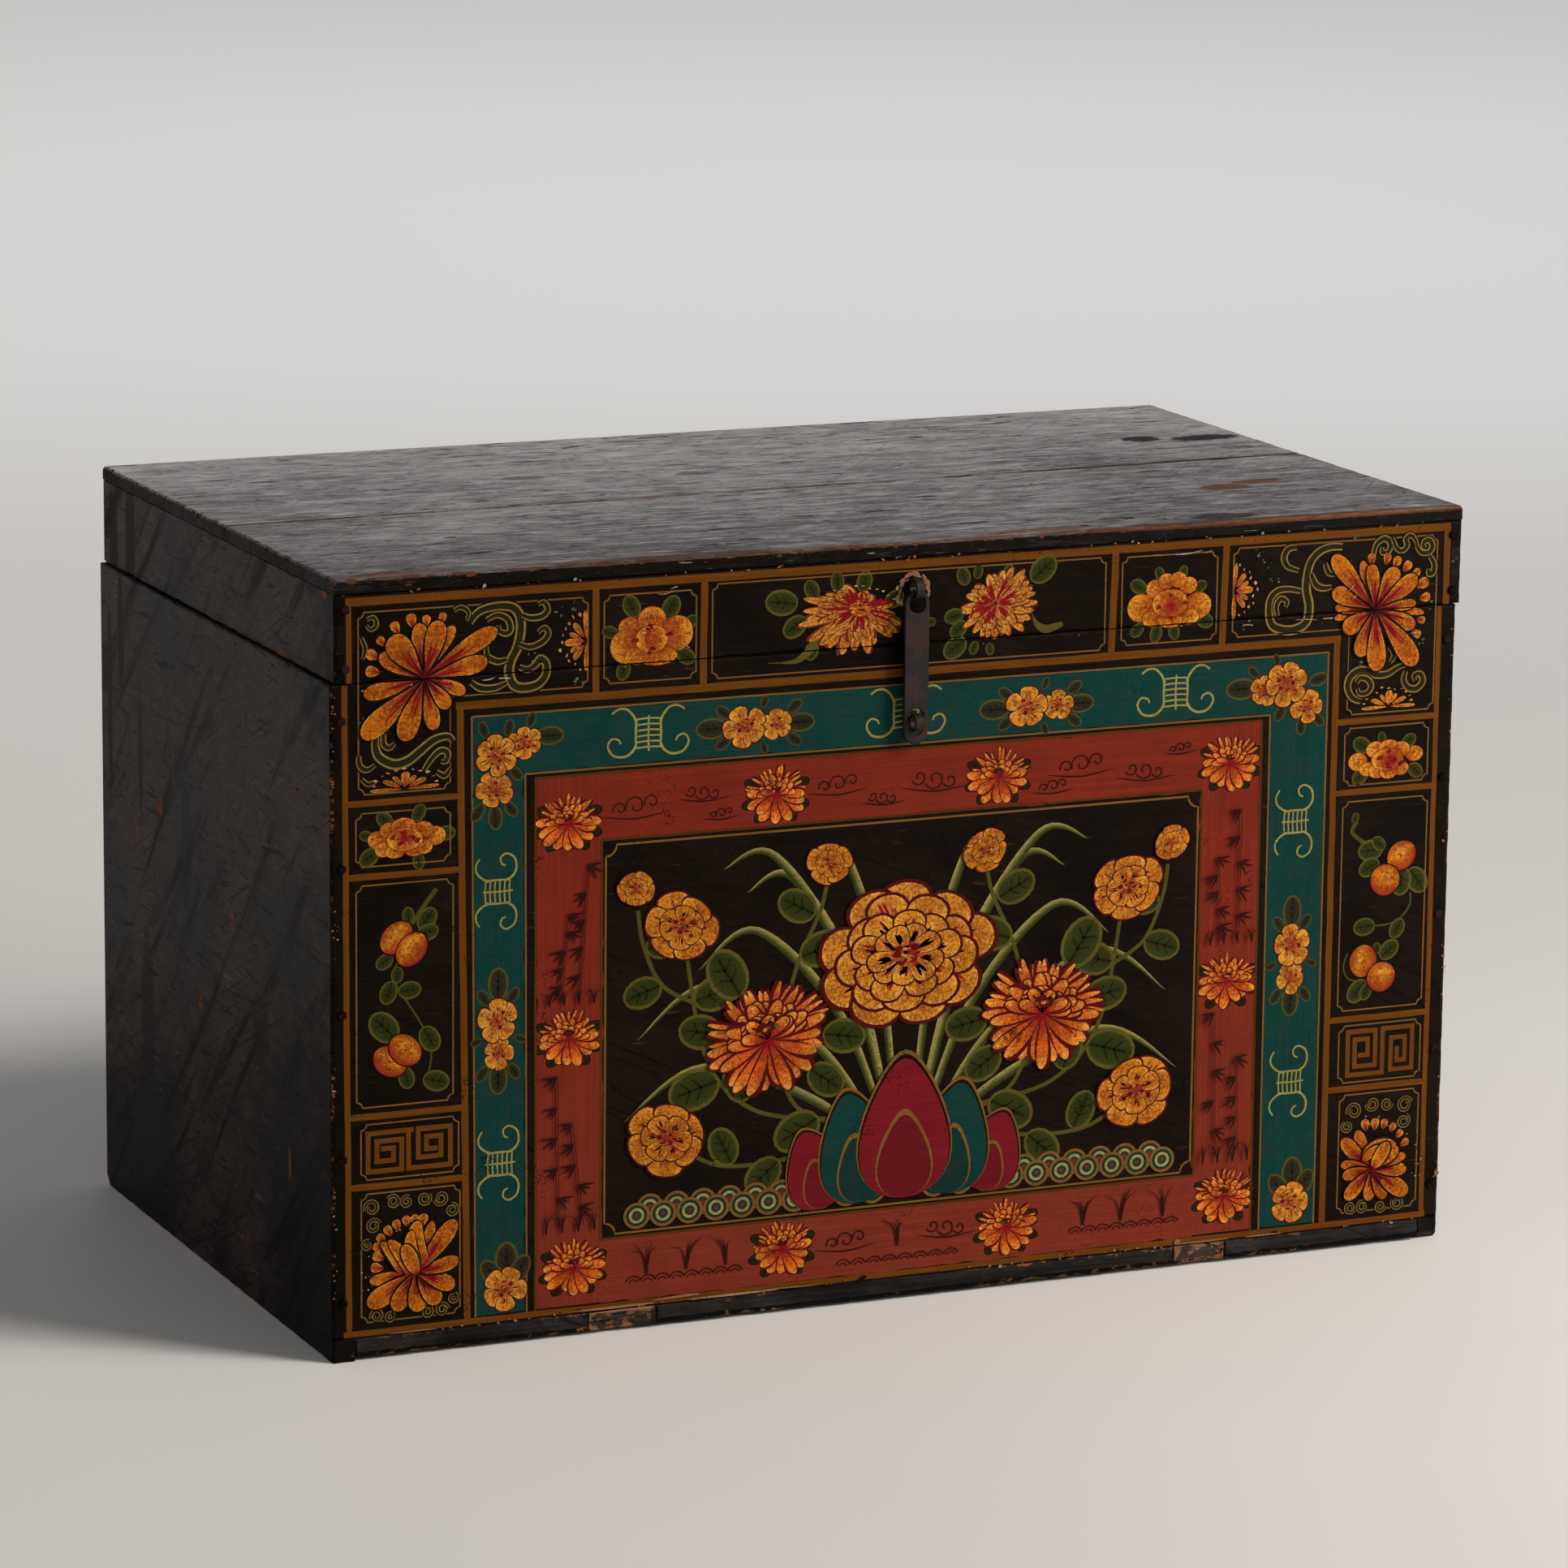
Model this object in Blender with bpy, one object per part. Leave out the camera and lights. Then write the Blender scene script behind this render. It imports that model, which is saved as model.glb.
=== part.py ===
"""Painted trunk: a finger-jointed wooden case with a hinged lid and a hanging iron hasp.

Run it with  blender --background --python part.py  or from Blender's text editor.
Metres, +Z up, the painted front faces -Y.  All sizes are the named values below.
"""
import math

import bmesh
import bpy
from mathutils import Matrix, Vector

# Case and lid
CASE_W = 0.860              # length of the case and of the lid, along X
CASE_D = 0.500              # depth front to back, along Y
CASE_TOP = 0.4735           # rim of the case above the floor
BASE_H = 0.0167             # lower edge of the front above the floor
BOARD_T = 0.016             # thickness of the case boards
LID_RIM_H = 0.061           # height of the lid's rim
LID_BOARD_T = 0.016         # thickness of the rim boards
TOP_T = 0.0105              # thickness of the two top boards
TOP_LEFT_D = 0.226          # depth of the front top board at its left end
TOP_RIGHT_D = 0.249         # and at its right end
TOP_SEAM = 0.0008           # open joint between the top boards
LID_SHIFT = 0.003           # the lid sits this far to the right of the case
FIT = 0.0003                # gap kept between pieces that touch

# Finger joints
CASE_FINGERS = 9            # fingers on each corner of the case
FRONT_LOWER_FINGERS = 5     # of these, on the lower front and back boards
END_LOWER_FINGERS = 4       # and on the lower end boards
LID_FINGERS = 3             # fingers on each corner of the lid
CORNER_ROUND = 0.0022       # rounding of the outer corners
TOP_ROUND = 0.0016          # rounding of the top boards' edges
FOOT_WEAR_LEFT = 0.010      # worn corner at the rear of the left foot
FOOT_WEAR_RIGHT = 0.006     # worn corner at the front of the right foot

# Bottom
BOTTOM_T = 0.014            # thickness of the bottom boards
BOTTOM_FRONT_D = 0.165      # depth of the front bottom board
BOTTOM_REAR_D = 0.165       # depth of the rear bottom board
BOTTOM_SEAM = 0.0008        # open joints between the bottom boards
REPAIR_DEPTH = 0.018        # depth of the blocks let into the front edge
REPAIR_LEFT_X = -0.218      # middle of the left block
REPAIR_LEFT_W = 0.052       # its width
REPAIR_RIGHT_X = 0.232      # middle of the right block
REPAIR_RIGHT_W = 0.042      # its width

# Nails
NAIL_HEAD_R = 0.0038
NAIL_HEAD_T = 0.0012
NAIL_R = 0.0013
NAIL_L = 0.032
NAIL_SINK = 0.0075          # distance of the corner nails from the corner
NAIL_CLEAR = 0.00025        # room around a nail in the wood
HINGE_NAIL_L = 0.012

# Hinges
HINGE_X = 0.255             # middle of each hinge from the middle of the trunk
HINGE_W = 0.054             # width of a hinge
HINGE_LEAF_L = 0.042        # length of a leaf from the hinge axis
LEAF_T = 0.002              # thickness of a leaf
KNUCKLE_R = 0.0044          # outer radius of a knuckle
KNUCKLE_STANDOFF = 0.0003   # knuckle to the plane of the leaf
KNUCKLE_GAP = 0.0004        # play between knuckles, and beside them
CASE_KNUCKLE_W = 0.018      # width of the middle knuckle
PIN_R = 0.0021
PIN_CLEAR = 0.0002
PIN_HEAD_R = 0.0031
PIN_HEAD_T = 0.0012

# Hasp
HASP_X = -0.003             # middle of the hasp
EYE_Z = 0.0405              # middle of the upper eye above the rim of the case
STAPLE_Z = 0.0540           # middle of the lower eye below the rim of the case
BAND_W = 0.006              # width of the iron band of both eyes
BAND_T = 0.002              # its thickness
LEG_GAP = 0.0004            # between the two legs of an eye
EYE_R = 0.0065              # upper eye, middle of the band
EYE_STANDOFF = 0.0005       # upper eye to the lid
STAPLE_R = 0.0055           # lower eye, middle of the band
STAPLE_OUT = 0.0105         # middle of the lower eye from the case
CLINCH_L = 0.011            # length of the legs turned over inside
SHANK_CLEAR = 0.0004        # room around the legs in the wood
STRAP_W = 0.0185            # width of the strap
STRAP_T = 0.003             # its thickness
STRAP_BELOW = 0.016         # strap below the middle of the lower eye
STRAP_BAR = 0.0035          # iron left above the upper hole
STRAP_HOLE_W = 0.0120
STRAP_HOLE_H = 0.0130
STRAP_SLOT_W = 0.0115
STRAP_SLOT_H = 0.0190
STRAP_EDGE = 0.0008         # chamfer of the strap's edges and of its holes

# Places that follow from the sizes
LID_TOP = CASE_TOP + LID_RIM_H + TOP_T
CASE_X = -LID_SHIFT / 2
LID_X = LID_SHIFT / 2
FRONT_Y = -CASE_D / 2
BACK_Y = CASE_D / 2
HINGE_Y = BACK_Y + FIT + KNUCKLE_STANDOFF + KNUCKLE_R
EYE_OUT = EYE_STANDOFF + EYE_R + BAND_T / 2
EYE_MID_Z = CASE_TOP + EYE_Z
STAPLE_MID_Z = CASE_TOP - STAPLE_Z
STRAP_Y = FRONT_Y - EYE_OUT
HOLE_SAG = (STRAP_HOLE_W - math.sqrt(STRAP_HOLE_W ** 2 - BAND_W ** 2)) / 2
STRAP_AXIS_Z = EYE_MID_Z - EYE_R + BAND_T / 2 + FIT + HOLE_SAG + STRAP_BAR / 2
FRONT_REACH = STAPLE_OUT + STAPLE_R + BAND_T / 2
BACK_REACH = HINGE_Y + KNUCKLE_R - BACK_Y
ROOT_Y = (FRONT_REACH - BACK_REACH) / 2

# Colour, roughness and metallic of each material
FINISHES = {
    "painted_front": ((0.026, 0.017, 0.013, 1.0), 0.42, 0.0),
    "lacquered_wood": ((0.030, 0.025, 0.022, 1.0), 0.45, 0.0),
    "worn_top": ((0.115, 0.098, 0.092, 1.0), 0.50, 0.0),
    "bare_wood": ((0.190, 0.105, 0.055, 1.0), 0.70, 0.0),
    "wrought_iron": ((0.035, 0.028, 0.026, 1.0), 0.48, 0.85),
}


def clear_scene():
    for obj in list(bpy.data.objects):
        bpy.data.objects.remove(obj, do_unlink=True)


def make_materials():
    made = {}
    for name, (colour, roughness, metallic) in FINISHES.items():
        mat = bpy.data.materials.new(name)
        mat.use_nodes = True
        mat.diffuse_color = colour
        shader = mat.node_tree.nodes["Principled BSDF"]
        shader.inputs["Base Color"].default_value = colour
        shader.inputs["Roughness"].default_value = roughness
        shader.inputs["Metallic"].default_value = metallic
        made[name] = mat
    return made


def make_empty(name, place, parent=None):
    empty = bpy.data.objects.new(name, None)
    empty.empty_display_size = 0.05
    bpy.context.scene.collection.objects.link(empty)
    empty.parent = parent
    empty.location = Vector(place) - (PIVOTS[parent.name] if parent else Vector())
    PIVOTS[name] = Vector(place)
    return empty


def make_object(name, bm, parent, material):
    """Turn a bmesh in trunk coordinates into an object under its pivot."""
    bmesh.ops.recalc_face_normals(bm, faces=bm.faces)
    mesh = bpy.data.meshes.new(name)
    bm.to_mesh(mesh)
    bm.free()
    obj = bpy.data.objects.new(name, mesh)
    bpy.context.scene.collection.objects.link(obj)
    obj.parent = parent
    obj.matrix_parent_inverse = Matrix.Translation(-PIVOTS[parent.name])
    obj.data.materials.append(MATERIALS[material])
    return obj


def make_cutter(name, bm):
    cutter = make_object(name, bm, ROOT, "bare_wood")
    cutter.hide_render = True
    cutter.display_type = 'WIRE'
    return cutter


def cut(obj, *cutters):
    for cutter in cutters:
        boolean = obj.modifiers.new(cutter.name, 'BOOLEAN')
        boolean.operation = 'DIFFERENCE'
        boolean.solver = 'EXACT'
        boolean.object = cutter


def box(x0, x1, y0, y1, z0, z1):
    bm = bmesh.new()
    size = Matrix.Diagonal((x1 - x0, y1 - y0, z1 - z0, 1.0))
    middle = Matrix.Translation(((x0 + x1) / 2, (y0 + y1) / 2, (z0 + z1) / 2))
    bmesh.ops.create_cube(bm, size=1.0, matrix=middle @ size)
    return bm


def add_mesh(bm, other):
    """Add the mesh of another bmesh as a further solid."""
    mesh = bpy.data.meshes.new("part")
    other.to_mesh(mesh)
    other.free()
    bm.from_mesh(mesh)
    bpy.data.meshes.remove(mesh)
    return bm


def extrude_outline(points, direction):
    bm = bmesh.new()
    face = bm.faces.new([bm.verts.new(p) for p in points])
    grown = bmesh.ops.extrude_face_region(bm, geom=[face])
    verts = [v for v in grown["geom"] if isinstance(v, bmesh.types.BMVert)]
    bmesh.ops.translate(bm, verts=verts, vec=direction)
    bmesh.ops.recalc_face_normals(bm, faces=bm.faces)
    return bm


def round_edges(bm, wanted, width, segments=2):
    """Round the edges whose two ends both satisfy a test."""
    edges = [e for e in bm.edges if all(wanted(v.co) for v in e.verts)]
    bmesh.ops.bevel(bm, geom=edges, offset=width, offset_type='OFFSET', segments=segments,
                    profile=0.5, affect='EDGES', clamp_overlap=True, material=-1)


def near(a, b):
    return abs(a - b) < 1e-6


def finger_outline(rows, half, depth, low_gap, high_gap):
    """Outline of a board with fingers at both ends, as (along, up) pairs.

    rows is a list of (low, high, own): own fingers reach the corner, and the others stop
    short of the board that crosses there.
    """
    right = []
    for i, (low, high, own) in enumerate(rows):
        end = half if own else half - depth - FIT
        start = low + low_gap if i == 0 else low + (FIT / 2 if own else -FIT / 2)
        stop = high - high_gap if i == len(rows) - 1 else high + (-FIT / 2 if own else FIT / 2)
        right += [(end, start), (end, stop)]
    return right + [(-u, v) for u, v in reversed(right)]


def finger_rows(low, high, count, own_first):
    step = (high - low) / count
    return [(low + k * step, low + (k + 1) * step, (k % 2 == 0) == own_first)
            for k in range(count)]


def round_corner_test(x_mid):
    def test(co):
        on_end = near(abs(co.x - x_mid), CASE_W / 2)
        return on_end and near(abs(co.y), CASE_D / 2)
    return test


def long_board(name, rows, x_mid, face_y, thickness, depth, gaps, parent, material):
    """A front or back board: the outline stands in XZ and is extruded inwards."""
    inwards = thickness if face_y < 0 else -thickness
    points = [(x_mid + u, face_y, v) for u, v in finger_outline(rows, CASE_W / 2, depth, *gaps)]
    bm = extrude_outline(points, (0.0, inwards, 0.0))
    round_edges(bm, round_corner_test(x_mid), CORNER_ROUND)
    return make_object(name, bm, parent, material)


def end_board(name, rows, x_mid, side, thickness, depth, gaps, parent, material, wear=None):
    """A left (side -1) or right (side 1) board: the outline stands in YZ."""
    face_x = x_mid + side * CASE_W / 2
    points = [(face_x, u, v) for u, v in finger_outline(rows, CASE_D / 2, depth, *gaps)]
    bm = extrude_outline(points, (-side * thickness, 0.0, 0.0))
    if wear:
        worn_y, width = wear
        round_edges(bm, lambda co: near(co.y, worn_y) and near(co.z, 0.0), width, 1)
    round_edges(bm, round_corner_test(x_mid), CORNER_ROUND)
    return make_object(name, bm, parent, material)


def nail_matrix(point, inwards):
    """Stand a nail that points down on a face, so that it runs inwards."""
    turn = Vector((0.0, 0.0, -1.0)).rotation_difference(Vector(inwards))
    return Matrix.Translation(point) @ turn.to_matrix().to_4x4()


def nail_solid(length):
    """A flat-headed nail: a short cone, its underside inset and drawn out to the shank."""
    bm = bmesh.new()
    seat = Matrix.Translation((0.0, 0.0, FIT + NAIL_HEAD_T / 2))
    bmesh.ops.create_cone(bm, cap_ends=True, segments=6, radius1=NAIL_HEAD_R,
                          radius2=NAIL_HEAD_R * 0.72, depth=NAIL_HEAD_T, matrix=seat)
    under = min(bm.faces, key=lambda f: f.calc_center_median().z)
    flat = (NAIL_HEAD_R - NAIL_R) * math.cos(math.pi / 6)
    bmesh.ops.inset_region(bm, faces=[under], thickness=flat, use_even_offset=True)
    drawn = bmesh.ops.extrude_face_region(bm, geom=[under])
    bmesh.ops.delete(bm, geom=[under], context='FACES_ONLY')
    tip = [v for v in drawn["geom"] if isinstance(v, bmesh.types.BMVert)]
    bmesh.ops.translate(bm, verts=tip, vec=(0.0, 0.0, -length))
    bmesh.ops.scale(bm, verts=tip, vec=(0.6, 0.6, 1.0))
    return bm


def nail_hole(length):
    bm = bmesh.new()
    reach = length + 2 * FIT
    seat = Matrix.Translation((0.0, 0.0, FIT - reach / 2))
    radius = (NAIL_R + NAIL_CLEAR) / math.cos(math.pi / 6)
    bmesh.ops.create_cone(bm, cap_ends=True, segments=6, radius1=radius, radius2=radius,
                          depth=reach, matrix=seat)
    return bm


def nail_group(places, length, parent):
    """Nails at the given (name, point, direction) places; gives the cutter of their holes."""
    holes = bmesh.new()
    for name, point, inwards in places:
        matrix = nail_matrix(point, inwards)
        nail, hole = nail_solid(length), nail_hole(length)
        for solid in (nail, hole):
            bmesh.ops.transform(solid, matrix=matrix, verts=solid.verts)
        make_object(name, nail, parent, "wrought_iron")
        add_mesh(holes, hole)
    return make_cutter("cut_" + places[0][0], holes)


def corner_nails(name, rows, x_mid, parent):
    """One nail through each finger of a front board, at both corners."""
    fingers = [(low + high) / 2 for low, high, own in rows if own]
    out = CASE_W / 2 - NAIL_SINK
    places = [("%s_nail_%s_%d" % (name, side, i + 1), (x, FRONT_Y, z), (0.0, 1.0, 0.0))
              for side, x in (("left", x_mid - out), ("right", x_mid + out))
              for i, z in enumerate(fingers)]
    return nail_group(places, NAIL_L, parent)


def leaf_nails(name, up, parent):
    """Two nails through each hinge leaf, near its outer edge."""
    edge = 2 * NAIL_HEAD_R
    y, z = BACK_Y + FIT + LEAF_T, CASE_TOP + up * (HINGE_LEAF_L - edge)
    places = [("hinge_nail_%s_%s_%d" % (name, side, i + 1), (x + dx, y, z), (0.0, -1.0, 0.0))
              for side, x in (("left", -HINGE_X), ("right", HINGE_X))
              for i, dx in enumerate((edge - HINGE_W / 2, HINGE_W / 2 - edge))]
    return nail_group(places, HINGE_NAIL_L, parent)


def eye_path(out, radius, thickness):
    """Middle line of an iron eye with clinched legs: (distance from the face, height)."""
    half = (BAND_T + LEG_GAP) / 2
    inside = -(thickness + FIT + BAND_T / 2)
    opening = math.asin(half / radius)
    arc = [opening + (2 * math.pi - 2 * opening) * i / 20 for i in range(21)]
    loop = [(out - radius * math.cos(a), radius * math.sin(a)) for a in arc]
    upper = [(inside, CLINCH_L), (inside, half)]
    lower = [(inside, -half), (inside, -CLINCH_L)]
    return upper + loop + lower


def iron_eye(name, out, radius, thickness, z, parent):
    """Bend a flat band along the path: extrude the line to a ribbon and give it thickness."""
    bm = bmesh.new()
    x0 = HASP_X - BAND_W / 2
    verts = [bm.verts.new((x0, FRONT_Y - u, z + v)) for u, v in eye_path(out, radius, thickness)]
    edges = [bm.edges.new(pair) for pair in zip(verts, verts[1:])]
    ribbon = bmesh.ops.extrude_edge_only(bm, edges=edges)
    grown = [v for v in ribbon["geom"] if isinstance(v, bmesh.types.BMVert)]
    bmesh.ops.translate(bm, verts=grown, vec=(BAND_W, 0.0, 0.0))
    eye = make_object(name, bm, parent, "wrought_iron")
    solid = eye.modifiers.new("band", 'SOLIDIFY')
    solid.thickness = BAND_T
    solid.offset = 0.0
    solid.use_even_offset = True
    return eye


def shank_cutter(name, z, thickness):
    half_x = BAND_W / 2 + SHANK_CLEAR
    half_z = BAND_T + LEG_GAP / 2 + SHANK_CLEAR
    over = thickness / 2
    return make_cutter(name, box(HASP_X - half_x, HASP_X + half_x, FRONT_Y - over,
                                 FRONT_Y + thickness + over, z - half_z, z + half_z))


def stadium(bm, y, low, high, width):
    """Edges of a round-ended outline standing in XZ at the hasp."""
    radius = width / 2
    arc = [math.pi * i / 12 for i in range(13)]
    top = [(HASP_X + radius * math.cos(a), y, high - radius + radius * math.sin(a)) for a in arc]
    foot = [(HASP_X - radius * math.cos(a), y, low + radius - radius * math.sin(a)) for a in arc]
    verts = [bm.verts.new(p) for p in top + foot]
    return [bm.edges.new(pair) for pair in zip(verts, verts[1:] + verts[:1])]


def hasp_strap(parent):
    """The strap hangs by the bar above its upper hole; the slot goes over the lower eye."""
    y = STRAP_Y - STRAP_T / 2
    hole_top = STRAP_AXIS_Z - STRAP_BAR / 2
    bm = bmesh.new()
    outline = stadium(bm, y, STAPLE_MID_Z - STRAP_BELOW, STRAP_AXIS_Z + STRAP_BAR / 2, STRAP_W)
    outline += stadium(bm, y, hole_top - STRAP_HOLE_H, hole_top, STRAP_HOLE_W)
    outline += stadium(bm, y, STAPLE_MID_Z - STRAP_SLOT_H / 2, STAPLE_MID_Z + STRAP_SLOT_H / 2, STRAP_SLOT_W)
    bmesh.ops.triangle_fill(bm, use_beauty=True, use_dissolve=False, edges=outline)
    plate = bmesh.ops.extrude_face_region(bm, geom=bm.faces[:])
    grown = [v for v in plate["geom"] if isinstance(v, bmesh.types.BMVert)]
    bmesh.ops.translate(bm, verts=grown, vec=(0.0, STRAP_T, 0.0))
    bmesh.ops.recalc_face_normals(bm, faces=bm.faces)
    rim = [e for e in bm.edges if len(e.link_faces) == 2 and near(e.verts[0].co.y, e.verts[1].co.y)
           and e.calc_face_angle() > math.radians(60)]
    bmesh.ops.bevel(bm, geom=rim, offset=STRAP_EDGE, offset_type='OFFSET', segments=1,
                    profile=0.5, affect='EDGES', clamp_overlap=True, material=-1)
    return make_object("hasp_strap", bm, parent, "wrought_iron")


def x_cylinder(x0, x1, radius, segments=24):
    bm = bmesh.new()
    place = Matrix.Translation(((x0 + x1) / 2, HINGE_Y, CASE_TOP)) @ Matrix.Rotation(math.pi / 2, 4, 'Y')
    bmesh.ops.create_cone(bm, cap_ends=True, segments=segments, radius1=radius, radius2=radius,
                          depth=x1 - x0, matrix=place)
    return bm


def hinge_spans(x):
    """X ranges of the middle knuckle and of the two outer ones."""
    half, middle = HINGE_W / 2, CASE_KNUCKLE_W / 2
    outer = middle + KNUCKLE_GAP
    return [(x - middle, x + middle)], [(x - half, x - outer), (x + outer, x + half)]


def hinge_leaf(name, x, spans, up, parent, nail_holes):
    """A leaf with its knuckles: plate and rolled knuckles joined, then bored for the pin."""
    face, back = BACK_Y + FIT, BACK_Y + FIT + LEAF_T
    clear = KNUCKLE_R + KNUCKLE_GAP
    near_z, far_z = CASE_TOP + up * clear, CASE_TOP + up * HINGE_LEAF_L
    low, high = min(near_z, far_z), max(near_z, far_z)
    leaf = make_object(name, box(x - HINGE_W / 2, x + HINGE_W / 2, face, back, low, high),
                       parent, "wrought_iron")
    overlap = clear + LEAF_T
    for i, (x0, x1) in enumerate(spans):
        tab_low, tab_high = min(CASE_TOP, CASE_TOP + up * overlap), max(CASE_TOP, CASE_TOP + up * overlap)
        for kind, solid in (("tab", box(x0, x1, face, back, tab_low, tab_high)),
                            ("knuckle", x_cylinder(x0, x1, KNUCKLE_R))):
            join = leaf.modifiers.new(kind, 'BOOLEAN')
            join.operation = 'UNION'
            join.solver = 'EXACT'
            join.object = make_cutter("add_%s_%s_%d" % (kind, name, i), solid)
    bore = x_cylinder(x - HINGE_W, x + HINGE_W, (PIN_R + PIN_CLEAR) / math.cos(math.pi / 24))
    cut(leaf, make_cutter("cut_bore_" + name, bore), nail_holes)
    return leaf


def hinge_pin(name, x, parent):
    """A pin turned from a stepped profile, with a head at each end outside the knuckles."""
    half = HINGE_W / 2 + KNUCKLE_GAP
    profile = [(-half - PIN_HEAD_T, 0.0), (-half - PIN_HEAD_T, PIN_HEAD_R), (-half, PIN_HEAD_R),
               (-half, PIN_R), (half, PIN_R), (half, PIN_HEAD_R), (half + PIN_HEAD_T, PIN_HEAD_R),
               (half + PIN_HEAD_T, 0.0)]
    bm = bmesh.new()
    verts = [bm.verts.new((x + a, HINGE_Y, CASE_TOP + r)) for a, r in profile]
    edges = [bm.edges.new(pair) for pair in zip(verts, verts[1:])]
    bmesh.ops.spin(bm, geom=verts + edges, cent=(x, HINGE_Y, CASE_TOP), axis=(1.0, 0.0, 0.0),
                   angle=2 * math.pi, steps=16, use_merge=True)
    bmesh.ops.remove_doubles(bm, verts=bm.verts, dist=1e-6)
    return make_object(name, bm, parent, "wrought_iron")


def build_case():
    rows = finger_rows(BASE_H, CASE_TOP, CASE_FINGERS, True)
    lower, upper = rows[:FRONT_LOWER_FINGERS], rows[FRONT_LOWER_FINGERS:]
    ends = [(0.0, BASE_H, True)] + [(low, high, not own) for low, high, own in rows]
    end_lower, end_upper = ends[:END_LOWER_FINGERS + 1], ends[END_LOWER_FINGERS + 1:]

    corner_holes = corner_nails("front", rows, CASE_X, ROOT)
    leaf_holes = leaf_nails("case", -1, ROOT)

    # Front and back
    split, edge = FIT / 2, FIT / 2
    staple_hole = shank_cutter("cut_staple_shank", STAPLE_MID_Z, BOARD_T)
    for name, face, material in (("front", FRONT_Y, "painted_front"), ("back", BACK_Y, "lacquered_wood")):
        for level, part, gaps in (("lower", lower, (edge, split)), ("upper", upper, (split, 0.0))):
            board = long_board("%s_board_%s" % (name, level), part, CASE_X, face, BOARD_T, BOARD_T,
                               gaps, ROOT, material)
            if name == "front":
                cut(board, corner_holes)
            if level == "upper":
                cut(board, staple_hole if name == "front" else leaf_holes)

    # Ends
    for name, side in (("left", -1), ("right", 1)):
        wear = (BACK_Y, FOOT_WEAR_LEFT) if side < 0 else (FRONT_Y, FOOT_WEAR_RIGHT)
        for level, part, gaps in (("lower", end_lower, (0.0, split)), ("upper", end_upper, (split, 0.0))):
            board = end_board("%s_board_%s" % (name, level), part, CASE_X, side, BOARD_T, BOARD_T,
                              gaps, ROOT, "lacquered_wood", wear if level == "lower" else None)
            cut(board, corner_holes)

    # Bottom boards and the two blocks let into the front edge
    bottom_high = BASE_H - FIT / 2
    bottom_low = bottom_high - BOTTOM_T
    half_inside = CASE_W / 2 - BOARD_T - FIT
    x0, x1 = CASE_X - half_inside, CASE_X + half_inside
    front_end = FRONT_Y + BOTTOM_FRONT_D
    rear_start = BACK_Y - BOTTOM_REAR_D
    spans = {"front": (FRONT_Y, front_end),
             "middle": (front_end + BOTTOM_SEAM, rear_start - BOTTOM_SEAM),
             "rear": (rear_start, BACK_Y)}
    boards = {}
    for name, (y0, y1) in spans.items():
        boards[name] = make_object("bottom_board_" + name, box(x0, x1, y0, y1, bottom_low, bottom_high),
                                   ROOT, "bare_wood")
    for name, x, width in (("left", REPAIR_LEFT_X, REPAIR_LEFT_W), ("right", REPAIR_RIGHT_X, REPAIR_RIGHT_W)):
        half, over = width / 2, BOTTOM_T
        make_object("base_repair_" + name, box(x - half, x + half, FRONT_Y, FRONT_Y + REPAIR_DEPTH,
                                               bottom_low, bottom_high), ROOT, "lacquered_wood")
        cut(boards["front"], make_cutter("cut_repair_" + name, box(
            x - half - FIT, x + half + FIT, FRONT_Y - over, FRONT_Y + REPAIR_DEPTH + FIT,
            bottom_low - over, bottom_high + over)))

    iron_eye("hasp_staple", STAPLE_OUT, STAPLE_R, BOARD_T, STAPLE_MID_Z, ROOT)
    for name, side in (("left", -1), ("right", 1)):
        middle, outer = hinge_spans(side * HINGE_X)
        hinge_leaf("hinge_leaf_case_" + name, side * HINGE_X, middle, -1, ROOT, leaf_holes)
        hinge_pin("hinge_pin_" + name, side * HINGE_X, ROOT)


def top_board(outer_y, gap, low, high):
    """One of the two top boards, from its outer edge to the slanting joint between them."""
    x0, x1 = LID_X - CASE_W / 2, LID_X + CASE_W / 2
    middle = FRONT_Y + (TOP_LEFT_D + TOP_RIGHT_D) / 2
    bm = box(x0, x1, min(outer_y, middle), max(outer_y, middle), low, high)
    for vert in bm.verts:
        if near(vert.co.y, middle):
            vert.co.y = FRONT_Y + (TOP_LEFT_D if near(vert.co.x, x0) else TOP_RIGHT_D) + gap
    round_edges(bm, lambda co: near(co.z, high), TOP_ROUND)
    return bm


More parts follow.
